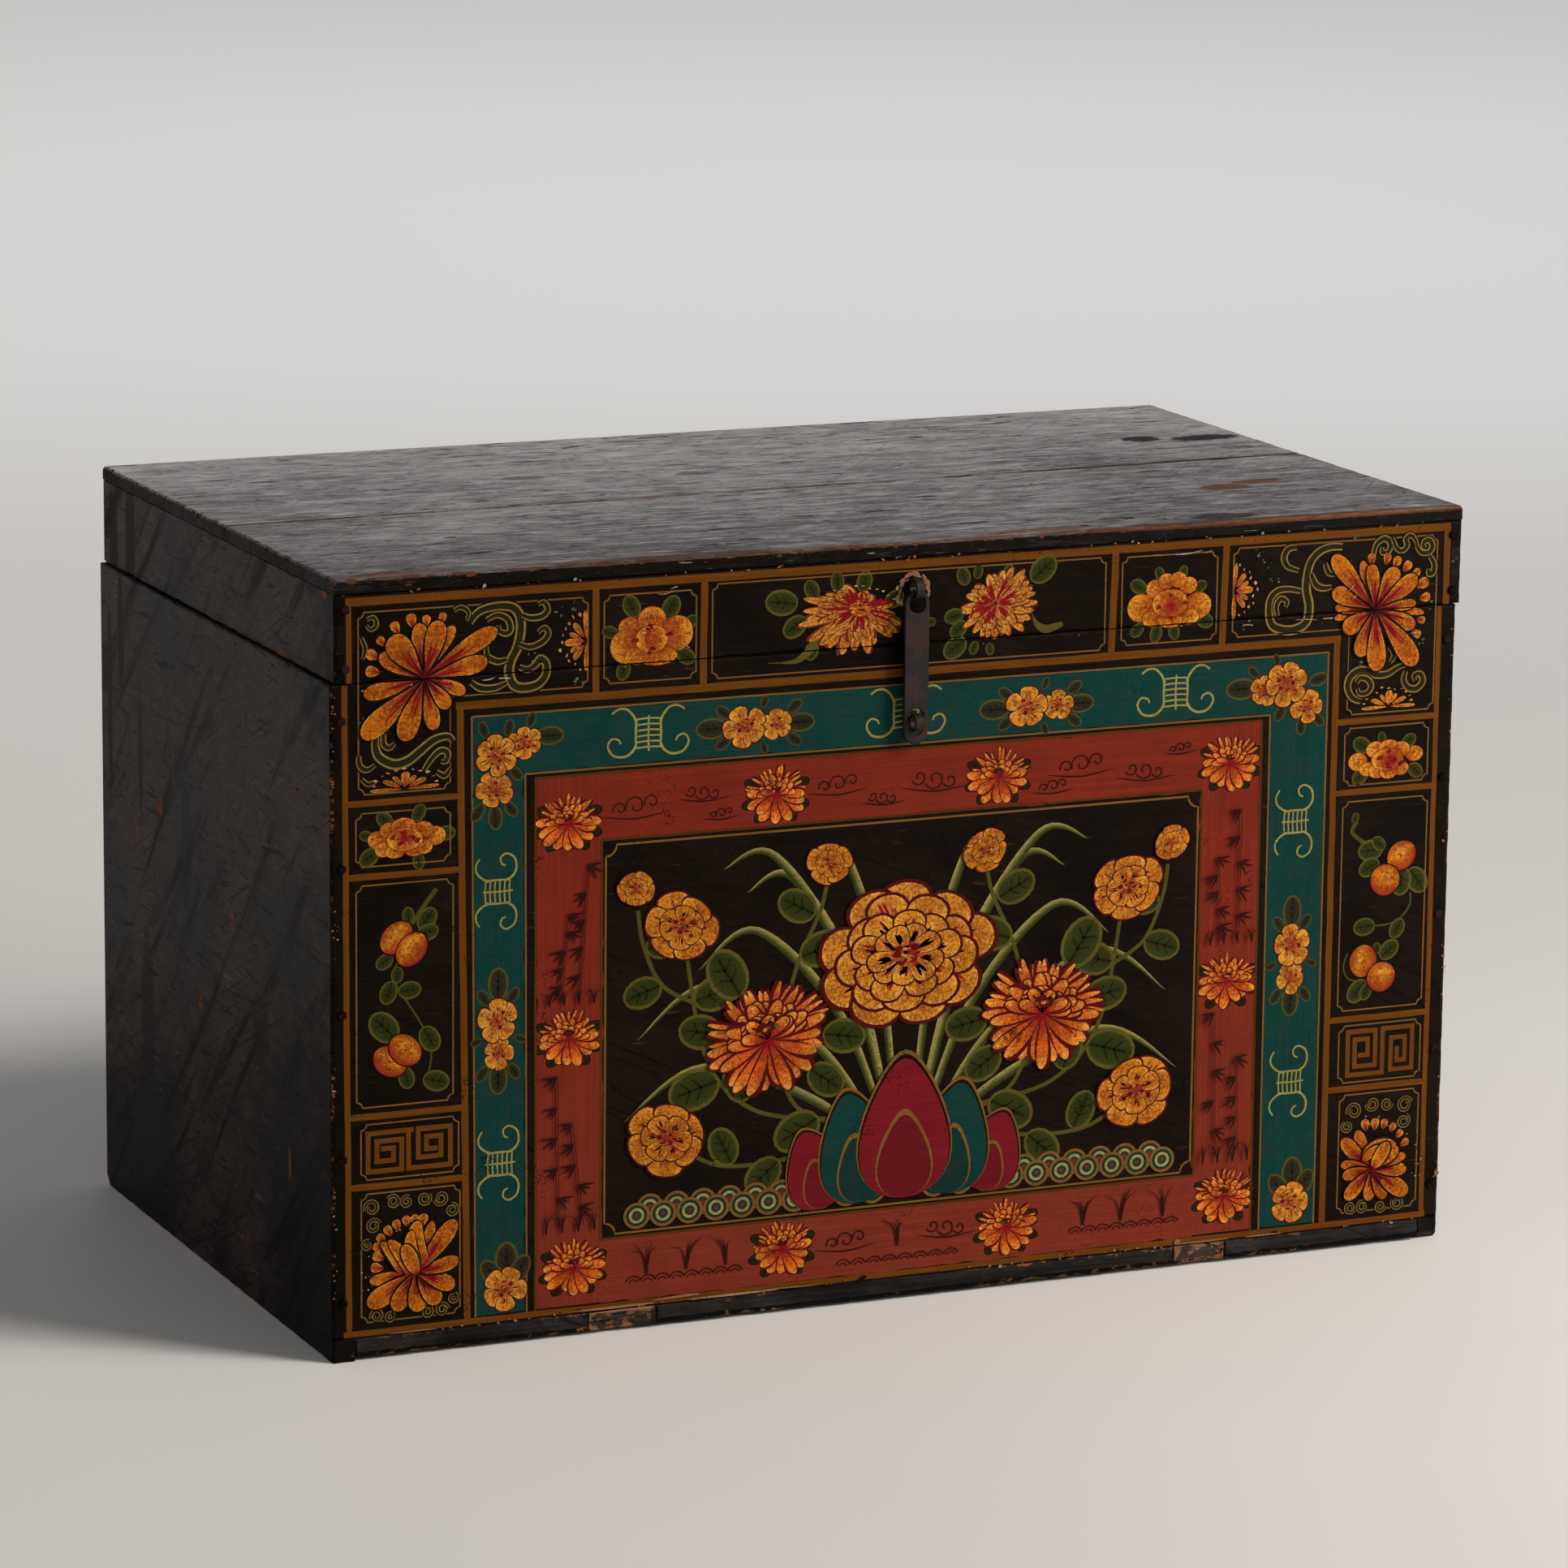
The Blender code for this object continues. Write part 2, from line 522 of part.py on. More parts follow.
def build_lid():
    low, high = CASE_TOP + FIT, CASE_TOP + LID_RIM_H
    rows = finger_rows(low, high, LID_FINGERS, True)
    end_rows = [(a, b, not own) for a, b, own in rows]
    top_low, top_high = high + FIT, LID_TOP

    corner_holes = corner_nails("lid", rows, LID_X, LID_PIVOT)
    leaf_holes = leaf_nails("lid", 1, LID_PIVOT)
    for name, face, material in (("front", FRONT_Y, "painted_front"), ("back", BACK_Y, "lacquered_wood")):
        rail = long_board("lid_%s_rail" % name, rows, LID_X, face, LID_BOARD_T, LID_BOARD_T,
                          (0.0, 0.0), LID_PIVOT, material)
        if name == "back":
            cut(rail, leaf_holes)
        else:
            cut(rail, corner_holes, shank_cutter("cut_eye_shank", EYE_MID_Z, LID_BOARD_T))
    for name, side in (("left", -1), ("right", 1)):
        rail = end_board("lid_%s_rail" % name, end_rows, LID_X, side, LID_BOARD_T, LID_BOARD_T,
                         (0.0, 0.0), LID_PIVOT, "lacquered_wood")
        cut(rail, corner_holes)

    for name, outer_y, gap in (("front", FRONT_Y, -TOP_SEAM / 2), ("rear", BACK_Y, TOP_SEAM / 2)):
        make_object("lid_top_" + name, top_board(outer_y, gap, top_low, top_high), LID_PIVOT, "worn_top")

    iron_eye("hasp_eye", EYE_OUT, EYE_R, LID_BOARD_T, EYE_MID_Z, LID_PIVOT)
    for name, side in (("left", -1), ("right", 1)):
        middle, outer = hinge_spans(side * HINGE_X)
        hinge_leaf("hinge_leaf_lid_" + name, side * HINGE_X, outer, 1, LID_PIVOT, leaf_holes)


clear_scene()
PIVOTS = {}
MATERIALS = make_materials()
ROOT = make_empty("trunk", (0.0, 0.0, 0.0))
LID_PIVOT = make_empty("lid_pivot", (0.0, HINGE_Y, CASE_TOP), ROOT)
HASP_PIVOT = make_empty("hasp_pivot", (HASP_X, STRAP_Y, STRAP_AXIS_Z), LID_PIVOT)
build_case()
build_lid()
hasp_strap(HASP_PIVOT)
ROOT.location.y = ROOT_Y
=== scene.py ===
"""A painted wooden trunk: worn lacquered boards, a flowered front, forged iron and a studio stage."""

import math
import random
from collections import namedtuple

import bmesh
import bpy
from bpy.props import FloatProperty, FloatVectorProperty, PointerProperty
from mathutils import Matrix, Vector, noise
from mathutils.geometry import interpolate_bezier


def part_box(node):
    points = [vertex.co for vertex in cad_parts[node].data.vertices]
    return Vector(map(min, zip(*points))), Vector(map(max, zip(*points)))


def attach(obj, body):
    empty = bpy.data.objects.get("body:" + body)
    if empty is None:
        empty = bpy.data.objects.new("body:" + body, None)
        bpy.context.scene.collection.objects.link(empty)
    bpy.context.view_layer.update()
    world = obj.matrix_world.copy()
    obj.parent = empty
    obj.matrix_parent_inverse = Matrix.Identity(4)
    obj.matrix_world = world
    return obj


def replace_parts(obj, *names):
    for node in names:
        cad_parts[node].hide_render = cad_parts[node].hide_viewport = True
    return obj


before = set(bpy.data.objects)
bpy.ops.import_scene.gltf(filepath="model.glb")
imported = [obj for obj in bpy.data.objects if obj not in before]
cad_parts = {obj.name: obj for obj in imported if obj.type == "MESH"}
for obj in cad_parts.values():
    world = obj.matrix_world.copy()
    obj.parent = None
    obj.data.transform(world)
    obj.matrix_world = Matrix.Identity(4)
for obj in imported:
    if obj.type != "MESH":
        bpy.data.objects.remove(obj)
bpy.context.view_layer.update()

bl_info = {
    "name": "Painted Trunk",
    "version": (1, 0, 0),
    "blender": (4, 5, 0),
    "location": "View3D > Sidebar > Trunk",
    "description": "Dresses a wooden trunk with worn boards, a painted front and iron fittings",
    "category": "Object",
}

CASE_BOARDS = tuple(
    f"{side}_board_{part}" for side in ("front", "back", "left", "right") for part in ("lower", "upper")
)
BASE_BLOCKS = ("base_repair_left", "base_repair_right")
BOTTOM_BOARDS = ("bottom_board_front", "bottom_board_middle", "bottom_board_rear")
LID_RAILS = ("lid_front_rail", "lid_back_rail", "lid_left_rail", "lid_right_rail")
LID_TOPS = ("lid_top_front", "lid_top_rear")

# Where the joint of the top starts and ends, in metres
TOP_JOINT = ((-0.4285, -0.0202), (0.4315, 0.0028))

# Places on the front, in millimetres from the case's lower left corner
EYE = (429.5, 509)
BASE_JOINT = 17.6
FRONT_LOW, FRONT_HIGH = 24, 468
FRONT_LEFT, FRONT_RIGHT = 0.6, 859.4
SEAM = 472.6
LID_EDGE = 534.5
MIDDLE = 428

# Half the gap that the films leave at the seam, and where bare wood starts under the lacquer, in metres
SEAM_GAP = 0.0003
LACQUER_DEPTH = (0.0088, 0.0100)

# Coats that later marks start from, counted from the lowest one
DOT_COAT = 30
CORNER_COAT = 48
CHIP_COAT = 70
MOUND_COAT = 150

# The longest edge piece and the most pieces of an edge where boards are worn
WEAR_STEP = 0.006
WEAR_CUTS = 160


def linear(red, green, blue):
    """Turn a colour given in 0 to 255 steps into scene light."""
    steps = (red / 255, green / 255, blue / 255)
    return tuple(s / 12.92 if s < 0.04045 else ((s + 0.055) / 1.055) ** 2.4 for s in steps)


def colour(label, red, green, blue, use):
    """Make a colour setting."""
    return FloatVectorProperty(
        name=label, description=use, subtype="COLOR", size=3, min=0, max=1, default=linear(red, green, blue)
    )


def length(label, metres, use):
    """Make a length setting."""
    return FloatProperty(name=label, description=use, default=metres, min=0, unit="LENGTH", precision=5)


def angle_of(label, radians, use):
    """Make an angle setting."""
    return FloatProperty(name=label, description=use, default=radians, unit="ROTATION")


def power(label, watts, use):
    """Make a setting for the power of a lamp."""
    return FloatProperty(name=label, description=use, default=watts, min=0, unit="POWER")


class TrunkPaints(bpy.types.PropertyGroup):
    """Colours of the painted front."""

    gold: colour("Gold stripe", 110, 63, 13, "Broad stripes between the fields")
    line: colour("Fine line", 128, 88, 38, "Thin lines inside the fields")
    teal: colour("Teal band", 2, 60, 55, "Outer band of the main field")
    red: colour("Red band", 128, 42, 26, "Inner band of the main field")
    dark: colour("Ground", 18, 11, 7, "Black lacquer under the flowers")
    root: colour("Petal root", 146, 14, 30, "Petals near their root")
    body: colour("Petal", 212, 120, 20, "Middle of a petal")
    rim: colour("Petal rim", 240, 164, 54, "Edge of a petal")
    leaf: colour("Leaf", 50, 62, 19, "Leaves on the black ground")
    leaf_rim: colour("Leaf rim", 92, 84, 32, "Outline of a leaf")
    scroll: colour("Scroll", 28, 36, 13, "Shaded side of a scroll")
    glow: colour("Scroll light", 168, 158, 88, "Lit side of a scroll and the ladder ornaments")
    ink: colour("Ink", 44, 18, 13, "Fine drawing on the red band")


class TrunkSizes(bpy.types.PropertyGroup):
    """Sizes of the wear and the coats of paint."""

    coat: length("Coat", 0.00005, "Height of the lowest coat over the wood")
    step: length("Coat step", 0.000006, "Height of each next brush mark over the last one")
    edge: length("Edge rounding", 0.0011, "How far the outer edges are worn round")
    top_edge: length("Top edge rounding", 0.0020, "How far the lid's top edges are worn round")
    ragged: length("Edge wear", 0.0012, "How unevenly the outer edges are worn")


class TrunkStage(bpy.types.PropertyGroup):
    """Camera and light."""

    lens: FloatProperty(name="Lens", description="Focal length in millimetres", default=155.257, min=1)
    place: FloatVectorProperty(
        name="Camera place", description="Where the camera stands", unit="LENGTH",
        default=(-1.9373, -4.4384, 1.3598),
    )
    yaw: angle_of("Yaw", 0.41332, "Turn to the right of the depth axis")
    pitch: angle_of("Pitch", 0.21065, "Tilt below level")
    roll: angle_of("Roll", 0.01042, "Turn round the line of sight")
    key: FloatProperty(name="Key light", description="Strength of the main soft light", default=1.8, min=0)
    lamp: power("Soft lamp", 25, "Power of the lamp at the right")
    far: power("Far lamp", 24, "Power of the lamp over the floor behind")
    sky: FloatProperty(name="Sky", description="Strength of the even light all round", default=0.21, min=0)


class Wire:
    """A shader socket that takes part in plain arithmetic."""

    def __init__(self, shader, socket):
        self.shader = shader
        self.socket = socket

    def math(self, operation, *values):
        return self.shader.add("Math", dict(enumerate(values)), operation=operation)

    def __add__(self, other):
        return self.math("ADD", self, other)

    def __radd__(self, other):
        return self.math("ADD", other, self)

    def __sub__(self, other):
        return self.math("SUBTRACT", self, other)

    def __rsub__(self, other):
        return self.math("SUBTRACT", other, self)

    def __mul__(self, other):
        return self.math("MULTIPLY", self, other)

    def __rmul__(self, other):
        return self.math("MULTIPLY", other, self)

    def least(self, other):
        return self.math("MINIMUM", self, other)

    def most(self, other):
        return self.math("MAXIMUM", self, other)

    def size(self):
        return self.math("ABSOLUTE", self)

    def ramp(self, low, high):
        """Rise smoothly from 0 at low to 1 at high, or fall where low is above high."""
        if low > high:
            return 1 - self.ramp(high, low)
        values = {"Value": self, "From Min": low, "From Max": high}
        return self.shader.add("MapRange", values, interpolation_type="SMOOTHSTEP")


class Shader:
    """One material and the nodes in it."""

    def __init__(self, name):
        self.material = bpy.data.materials.new(name)
        self.material.use_nodes = True
        self.tree = self.material.node_tree
        self.surface = self.tree.nodes["Principled BSDF"]
        self.spot = self.add("TexCoord", {}, out="Object")

    def feed(self, socket, value):
        if isinstance(value, Wire):
            self.tree.links.new(value.socket, socket)
        elif socket.type == "RGBA" and len(value) == 3:
            socket.default_value = (*value, 1)
        else:
            socket.default_value = value

    def add(self, kind, values, out=0, **settings):
        """Add a node, set it up, feed its inputs and return one of its outputs."""
        node = self.tree.nodes.new("ShaderNode" + kind)
        for key, value in settings.items():
            setattr(node, key, value)
        for key, value in values.items():
            self.feed(node.inputs[key], value)
        return Wire(self, node.outputs[out])

    def axes(self):
        """Return the three coordinates of the shaded spot."""
        node = self.add("SeparateXYZ", {0: self.spot}).socket.node
        return [Wire(self, socket) for socket in node.outputs]

    def lean(self, place, axis, across, turn):
        """Return the shaded spot with one axis leaning along another, for marks that run askew."""
        leaned = {i: c for i, c in enumerate(place)}
        leaned[across] = place[across] + place[axis] * turn
        return self.add("CombineXYZ", leaned)

    def noise(self, stretch, detail=3.0, rough=0.5, warp=0.0, spot=None):
        """Return a noise whose features per metre along each axis are given."""
        spot = self.add("VectorMath", {0: spot or self.spot, 1: stretch}, operation="MULTIPLY")
        values = {"Vector": spot, "Scale": 1.0, "Detail": detail, "Roughness": rough, "Distortion": warp}
        return self.add("TexNoise", values)

    def mix(self, share, first, second):
        return self.add("Mix", {0: share, 6: first, 7: second}, out=2, data_type="RGBA")

    def bump(self, height, strength, depth):
        return self.add("Bump", {"Height": height, "Strength": strength, "Distance": depth})

    def finish(self, **values):
        """Feed the surface, with sockets named by words joined with underscores."""
        for key, value in values.items():
            name = "Specular IOR Level" if key == "shine" else key.replace("_", " ").title()
            self.feed(self.surface.inputs[name], value)
        return self.material


def along(axis, fine, coarse):
    """Return a stretch that runs long along one axis of three."""
    return tuple(coarse if i == axis else fine for i in range(3))


# How a lacquered board looks: its colours, wear, gloss and the strength of each kind of mark; rise sets a
# painted sheen that lightens the tone upwards, or towards the back on the lid's top
Finish = namedtuple("Finish", "dark light raw worn gloss shine streak cloud mottle rise nick")


def board_material(name, axis, box, look, marks=(), rim=None, joint=None, front=None):
    """Lacquer over wood whose grain runs along one axis, worn through near the edges of a box."""
    s = Shader(name)
    place = s.axes()
    x, y, z = [(c - a).size().least((b - c).size()) for c, a, b in zip(place, *box)]
    nearest = x.least(y).least(z)
    edge = x.least(y).most(x.most(y).least(z))
    grain = s.noise(along(axis, 300, 7), 5, 0.62)
    fibre = s.noise(along(axis, 1300, 24), 2, 0.5)
    cloud = s.noise((6, 6, 6), 5, 0.6, 0.5)
    mottle = s.noise(along(axis, 90, 34), 6, 0.7, 0.4)
    chips = s.noise(along(axis, 240, 110), 5, 0.65)
    tone = (grain - 0.5) * (look.streak * 1.6) + (cloud - 0.5) * (look.cloud * 1.3) + 0.5
    tone = tone + (fibre - 0.5) * (0.5 * look.streak) + (mottle - 0.5) * look.mottle
    # Painted sheen: the tone grows lighter upwards on the sides, and towards the back on the lid's top
    # (where a joint is given), by the finish's rise
    tone = tone + (place[1] if joint else place[2] - 0.26) * look.rise
    lacquer = s.mix(tone.ramp(0.12, 0.88), look.dark, look.light)
    # On the lid's top only the upper face keeps the grey with its painted sheen; the edges take the rim's
    # black lacquer
    if rim:
        lacquer = s.mix(z.ramp(0.0006, 0.0022), lacquer, s.mix(tone.ramp(0.3, 0.9), rim.dark, rim.light))
    if front:
        near = (place[1] - box[0].y).ramp(0.0022, 0.0008)
        lacquer = s.mix(near, lacquer, s.mix(tone.ramp(0.2, 0.9), front.dark, front.light))
    # Dark marks: hair cracks, smudges, two sets of slanted scratches, nicks and cracks along the grain
    deep = tuple(c * 0.3 for c in look.dark)
    hair = (s.noise((30, 42, 36), 3, 0.5, 0.8) - 0.5).size().ramp(0.006, 0.0016) * chips.ramp(0.44, 0.54)
    across = 1 if joint else 2
    fine, slash = (190, 0.55) if joint else (330, 1.0)
    smudge = s.noise(along(axis, 30, 7), 4, 0.62, 0.6, s.lean(place, axis, across, 1.0)).ramp(0.5, 0.7)
    lacquer = s.mix(smudge * (0.45 * look.cloud), lacquer, deep)
    skew = s.noise(along(axis, fine, 9), 3, 0.5, 0.5, s.lean(place, axis, across, 0.45)).ramp(0.61, 0.65)
    cross = s.noise(along(axis, fine, 11), 3, 0.5, 0.5, s.lean(place, axis, across, -1.3)).ramp(0.63, 0.67)
    skew = skew * cloud.ramp(0.44, 0.56)
    cross = cross * mottle.ramp(0.42, 0.52)
    nick = s.noise(along(axis, 150, 26), 4, 0.6, 0.7).ramp(0.61, 0.65) * look.nick
    crack = (s.noise(along(axis, 62, 4.5), 5, 0.6, 0.3) - 0.5).size().ramp(0.022, 0.008)
    crack = crack * mottle.ramp(0.47, 0.58) * look.nick
    dull = smudge * (0.45 * look.cloud)
    cut = (hair * 0.7).most(skew * (0.6 * slash)).most(cross * (0.5 * slash))
    cut = cut.most(nick * 0.7).most(crack * 0.7)
    lacquer = s.mix(cut, lacquer, deep)
    dull = dull.most(cut)
    # Pale scuffs and spots rubbed down to the wood
    scuff = s.noise(along(axis, 760, 40), 2, 0.5, 0.5).ramp(0.68, 0.74) * (1 - cloud).ramp(0.42, 0.6)
    lacquer = s.mix(scuff * 0.35, lacquer, tuple(min(1, c * 2.2 + 0.02) for c in look.light))
    rub = s.noise(along(axis, 260, 26), 4, 0.6, 0.4).ramp(0.655, 0.70) * cloud.ramp(0.44, 0.56)
    lacquer = s.mix(rub * (0.5 * look.nick), lacquer, look.raw)
    # Bare wood along the edges, on the worn spots and beside the joint
    under = s.mix(grain.ramp(0.3, 0.7), tuple(c * 0.4 for c in look.raw), look.raw)
    width = (chips - 0.46).most(0.0) * (0.02 * look.worn)
    bare = (width - edge).ramp(0.0, 0.0006) * look.worn
    if not joint:
        bare = bare * s.noise((11, 11, 11), 3, 0.6).ramp(0.46, 0.58)
    bare = bare * (place[2] - joint_box(CASE_BOARDS)[1].z).size().ramp(0.002, 0.005)
    bare = bare.most((chips * 0.7 + cloud * 0.5).ramp(0.79, 0.83) * look.worn * 0.3)
    # Listed marks: raw ones wear through to bare wood; the others darken the lacquer as stains and scars,
    # and along the front foot of the bottom boards as a painted shadow
    for centre, radius, strength, raw in marks:
        spread = (chips - 0.5) * 1.6 + (grain - 0.5) * 1.2
        for c, middle, reach in zip(place, centre, radius):
            away = (c - middle) * (1 / reach)
            spread = spread + away * away
        spot = spread.ramp(1.1, 0.7) * strength
        if raw:
            bare = bare.most(spot)
        else:
            lacquer = s.mix(spot, lacquer, deep)
            dull = dull.most(spot)
    if joint:
        (from_x, from_y), (to_x, to_y) = joint
        slope = (to_y - from_y) / (to_x - from_x)
        away = (place[1] - place[0] * slope - (from_y - from_x * slope)).size()
        stain = (mottle.ramp(0.38, 0.54) * 0.75).most(place[0].ramp(0.14, 0.24) * 0.9)
        lacquer = s.mix(away.ramp(0.0046, 0.0018) * stain, lacquer, linear(30, 18, 14))
        bare = bare.most((width * 0.6 - away + 0.001).ramp(0.0, 0.0012) * 0.4)
    bare = bare.least(1.0)
    shade = s.mix(bare * 0.85, lacquer, under)
    inside = nearest.ramp(*LACQUER_DEPTH)
    timber = s.mix(grain.ramp(0.25, 0.75), linear(92, 66, 46), linear(140, 106, 76))
    shade = s.mix(inside, shade, s.mix(cloud.ramp(0.35, 0.75) * 0.5, timber, linear(70, 52, 40)))
    rough = look.gloss + (cloud - 0.5) * 0.3 + bare * 0.25 + inside * 0.2 + (fibre - 0.5) * 0.14
    rough = (rough + dull * (0.4 if joint else 0.1)).least(1.0)
    height = grain * 0.5 * look.streak + fibre * 0.2 + chips * 0.2 - bare * 0.8 - hair * 0.4 - nick * 0.5
    return s.finish(base_color=shade, roughness=rough, shine=look.shine, normal=s.bump(height, 0.4, 0.0006))


def iron_material(name, light=(27, 19, 19), shine=0.3):
    """Dark forged iron, hammered and lightly rusted."""
    s = Shader(name)
    hammer = s.noise((95, 95, 95), 2, 0.45)
    grit = s.noise((900, 900, 900), 3, 0.6)
    rust = (s.noise((60, 60, 60), 5, 0.7) + grit * 0.15).ramp(0.54, 0.72)
    shade = s.mix(hammer, linear(6, 4, 4), linear(*light))
    shade = s.mix(rust * 0.5, shade, linear(70, 40, 28))
    rough = (0.4 + grit * 0.2 + rust * 0.25).least(1.0)
    height = hammer * 0.8 + grit * 0.12
    bump = s.bump(height, 0.3, 0.0009)
    return s.finish(base_color=shade, roughness=rough, metallic=0.2, shine=shine, normal=bump)


def film_material(name, ground):
    """Brushed paint in the colour its mesh carries, thinned and specked by age."""
    s = Shader(name)
    own = s.add("Attribute", {}, out="Color", attribute_name="paint")
    upright = s.add("Attribute", {}, out="Alpha", attribute_name="paint")
    level = s.noise((14, 14, 620), 3, 0.55)
    plumb = s.noise((620, 14, 14), 3, 0.55)
    brush = level * upright + plumb * (1 - upright)
    blot = s.noise((26, 26, 26), 4, 0.6)
    speck = s.noise((640, 640, 640), 3, 0.6)
    warmth = s.add("SeparateColor", {0: own}, out=0).ramp(0.26, 0.5)
    stipple = s.noise((460, 460, 460), 3, 0.7) + (s.noise((70, 70, 70), 3, 0.6) - 0.5) * 0.6
    tint = s.mix((brush * 0.7 + blot * 0.5).ramp(0.3, 0.95), s.mix(0.42, own, ground), own)
    tint = s.mix(stipple.ramp(0.38, 0.62) * (warmth * 0.8 + 0.08), tint, s.mix(0.8, own, linear(98, 28, 8)))
    dots = s.noise((560, 560, 560), 2, 0.6, 0.4).ramp(0.6, 0.67) * warmth
    tint = s.mix(dots * 0.7, tint, linear(58, 18, 8))
    fleck = s.noise((430, 430, 430), 2, 0.6).ramp(0.62, 0.72) * warmth
    tint = s.mix(fleck * 0.3, tint, linear(246, 184, 84))
    lost = (speck * 0.55 + blot * 0.6).ramp(0.69, 0.75)
    tint = s.mix(lost * 0.75, tint, ground)
    rough = (0.44 + blot * 0.14 + speck * 0.1).least(1.0)
    height = brush * 0.6 + speck * 0.4 - lost
    return s.finish(base_color=tint, roughness=rough, shine=0.03, normal=s.bump(height, 0.25, 0.0003))


def floor_material(name):
    """Plain pale floor with a faint unevenness, painted lighter away from the trunk to stand for even light
    over the far floor.
    """
    s = Shader(name)
    cloud = s.noise((1.6, 1.6, 1.6), 3, 0.5)
    x, y, _ = s.axes()
    # Painted light: the floor turns lighter with distance from the middle, where the lamps light it less
    far = (x * x + y * y).ramp(0.5, 20.0)
    shade = s.mix(far, s.mix(cloud, linear(238, 234, 229), linear(243, 239, 234)), linear(254, 254, 254))
    return s.finish(base_color=shade, roughness=0.75 + cloud * 0.1)


def piece_from(name, mesh, material, body):
    """Turn a bmesh into an object that rides on a body."""
    data = bpy.data.meshes.new(name)
    mesh.to_mesh(data)
    mesh.free()
    data.materials.append(material)
    piece = bpy.data.objects.new(name, data)
    bpy.context.scene.collection.objects.link(piece)
    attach(piece, body)
    return piece


def joint_box(nodes):
    """Return the box round several nodes."""
    boxes = [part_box(node) for node in nodes]
    low = Vector(min(box[0][i] for box in boxes) for i in range(3))
    high = Vector(max(box[1][i] for box in boxes) for i in range(3))
    return low, high


def worn_board(node, box, edge, ragged, everywhere):
    """Copy a board and wear round its edges, all of them or those that lie on the outside of a box."""
    mesh = bmesh.new()
    mesh.from_mesh(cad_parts[node].data)
    bmesh.ops.remove_doubles(mesh, verts=mesh.verts, dist=1e-6)
    bmesh.ops.dissolve_limit(mesh, angle_limit=0.02, verts=mesh.verts, edges=mesh.edges)
    planes = [(axis, side[axis]) for side in box for axis in range(3)]

    def on(vert):
        return {plane for plane in planes if abs(vert.co[plane[0]] - plane[1]) < 1e-5}

    outer = [e for e in mesh.edges if everywhere or len(on(e.verts[0]) & on(e.verts[1])) > 1]
    bmesh.ops.bevel(
        mesh, geom=outer, offset=edge, segments=3, profile=0.5, affect="EDGES", material=-1,
        clamp_overlap=True,
    )
    for e in list(mesh.edges):
        cuts = int(e.calc_length() / WEAR_STEP)
        near = [min(abs(v.co[a] - p) for a, p in planes) for v in e.verts]
        if cuts and max(near) < edge * 1.5:
            bmesh.ops.subdivide_edges(mesh, edges=[e], cuts=min(cuts, WEAR_CUTS))
    for vert in mesh.verts:
        for axis, place in planes:
            gap = vert.co[axis] - place
            if edge * 0.05 < abs(gap) < edge * 1.2:
                rag = noise.noise(vert.co * 70) + 0.7 * noise.noise(vert.co * 260)
                vert.co[axis] += math.copysign(ragged * max(0, rag), gap)
    bmesh.ops.triangulate(mesh, faces=mesh.faces)
    mesh.normal_update()
    return mesh


def blend(first, second, share):
    """Return a colour between two others."""
    share = min(1, max(0, share))
    return tuple(a + (b - a) * share for a, b in zip(first, second))


def curve(points, steps=5):
    """Return a smooth line through some points."""
    knots = [Vector(point) for point in points]
    ends = [knots[0]] + knots + [knots[-1]]
    line = [knots[0]]
    for before, a, b, after in zip(ends, ends[1:], ends[2:], ends[3:]):
        line += interpolate_bezier(a, a + (b - before) / 6, b - (after - a) / 6, b, steps + 1)[1:]
    return line


def spiral(x, z, outer, inner, start, turn, steps=22):
    """Return a line that winds round a point, with its angles in degrees."""
    line = []
    for step in range(steps + 1):
        share = step / steps
        angle = math.radians(start + turn * share)
        radius = outer + (inner - outer) * share
        line.append(Vector((x + radius * math.cos(angle), z + radius * math.sin(angle))))
    return line


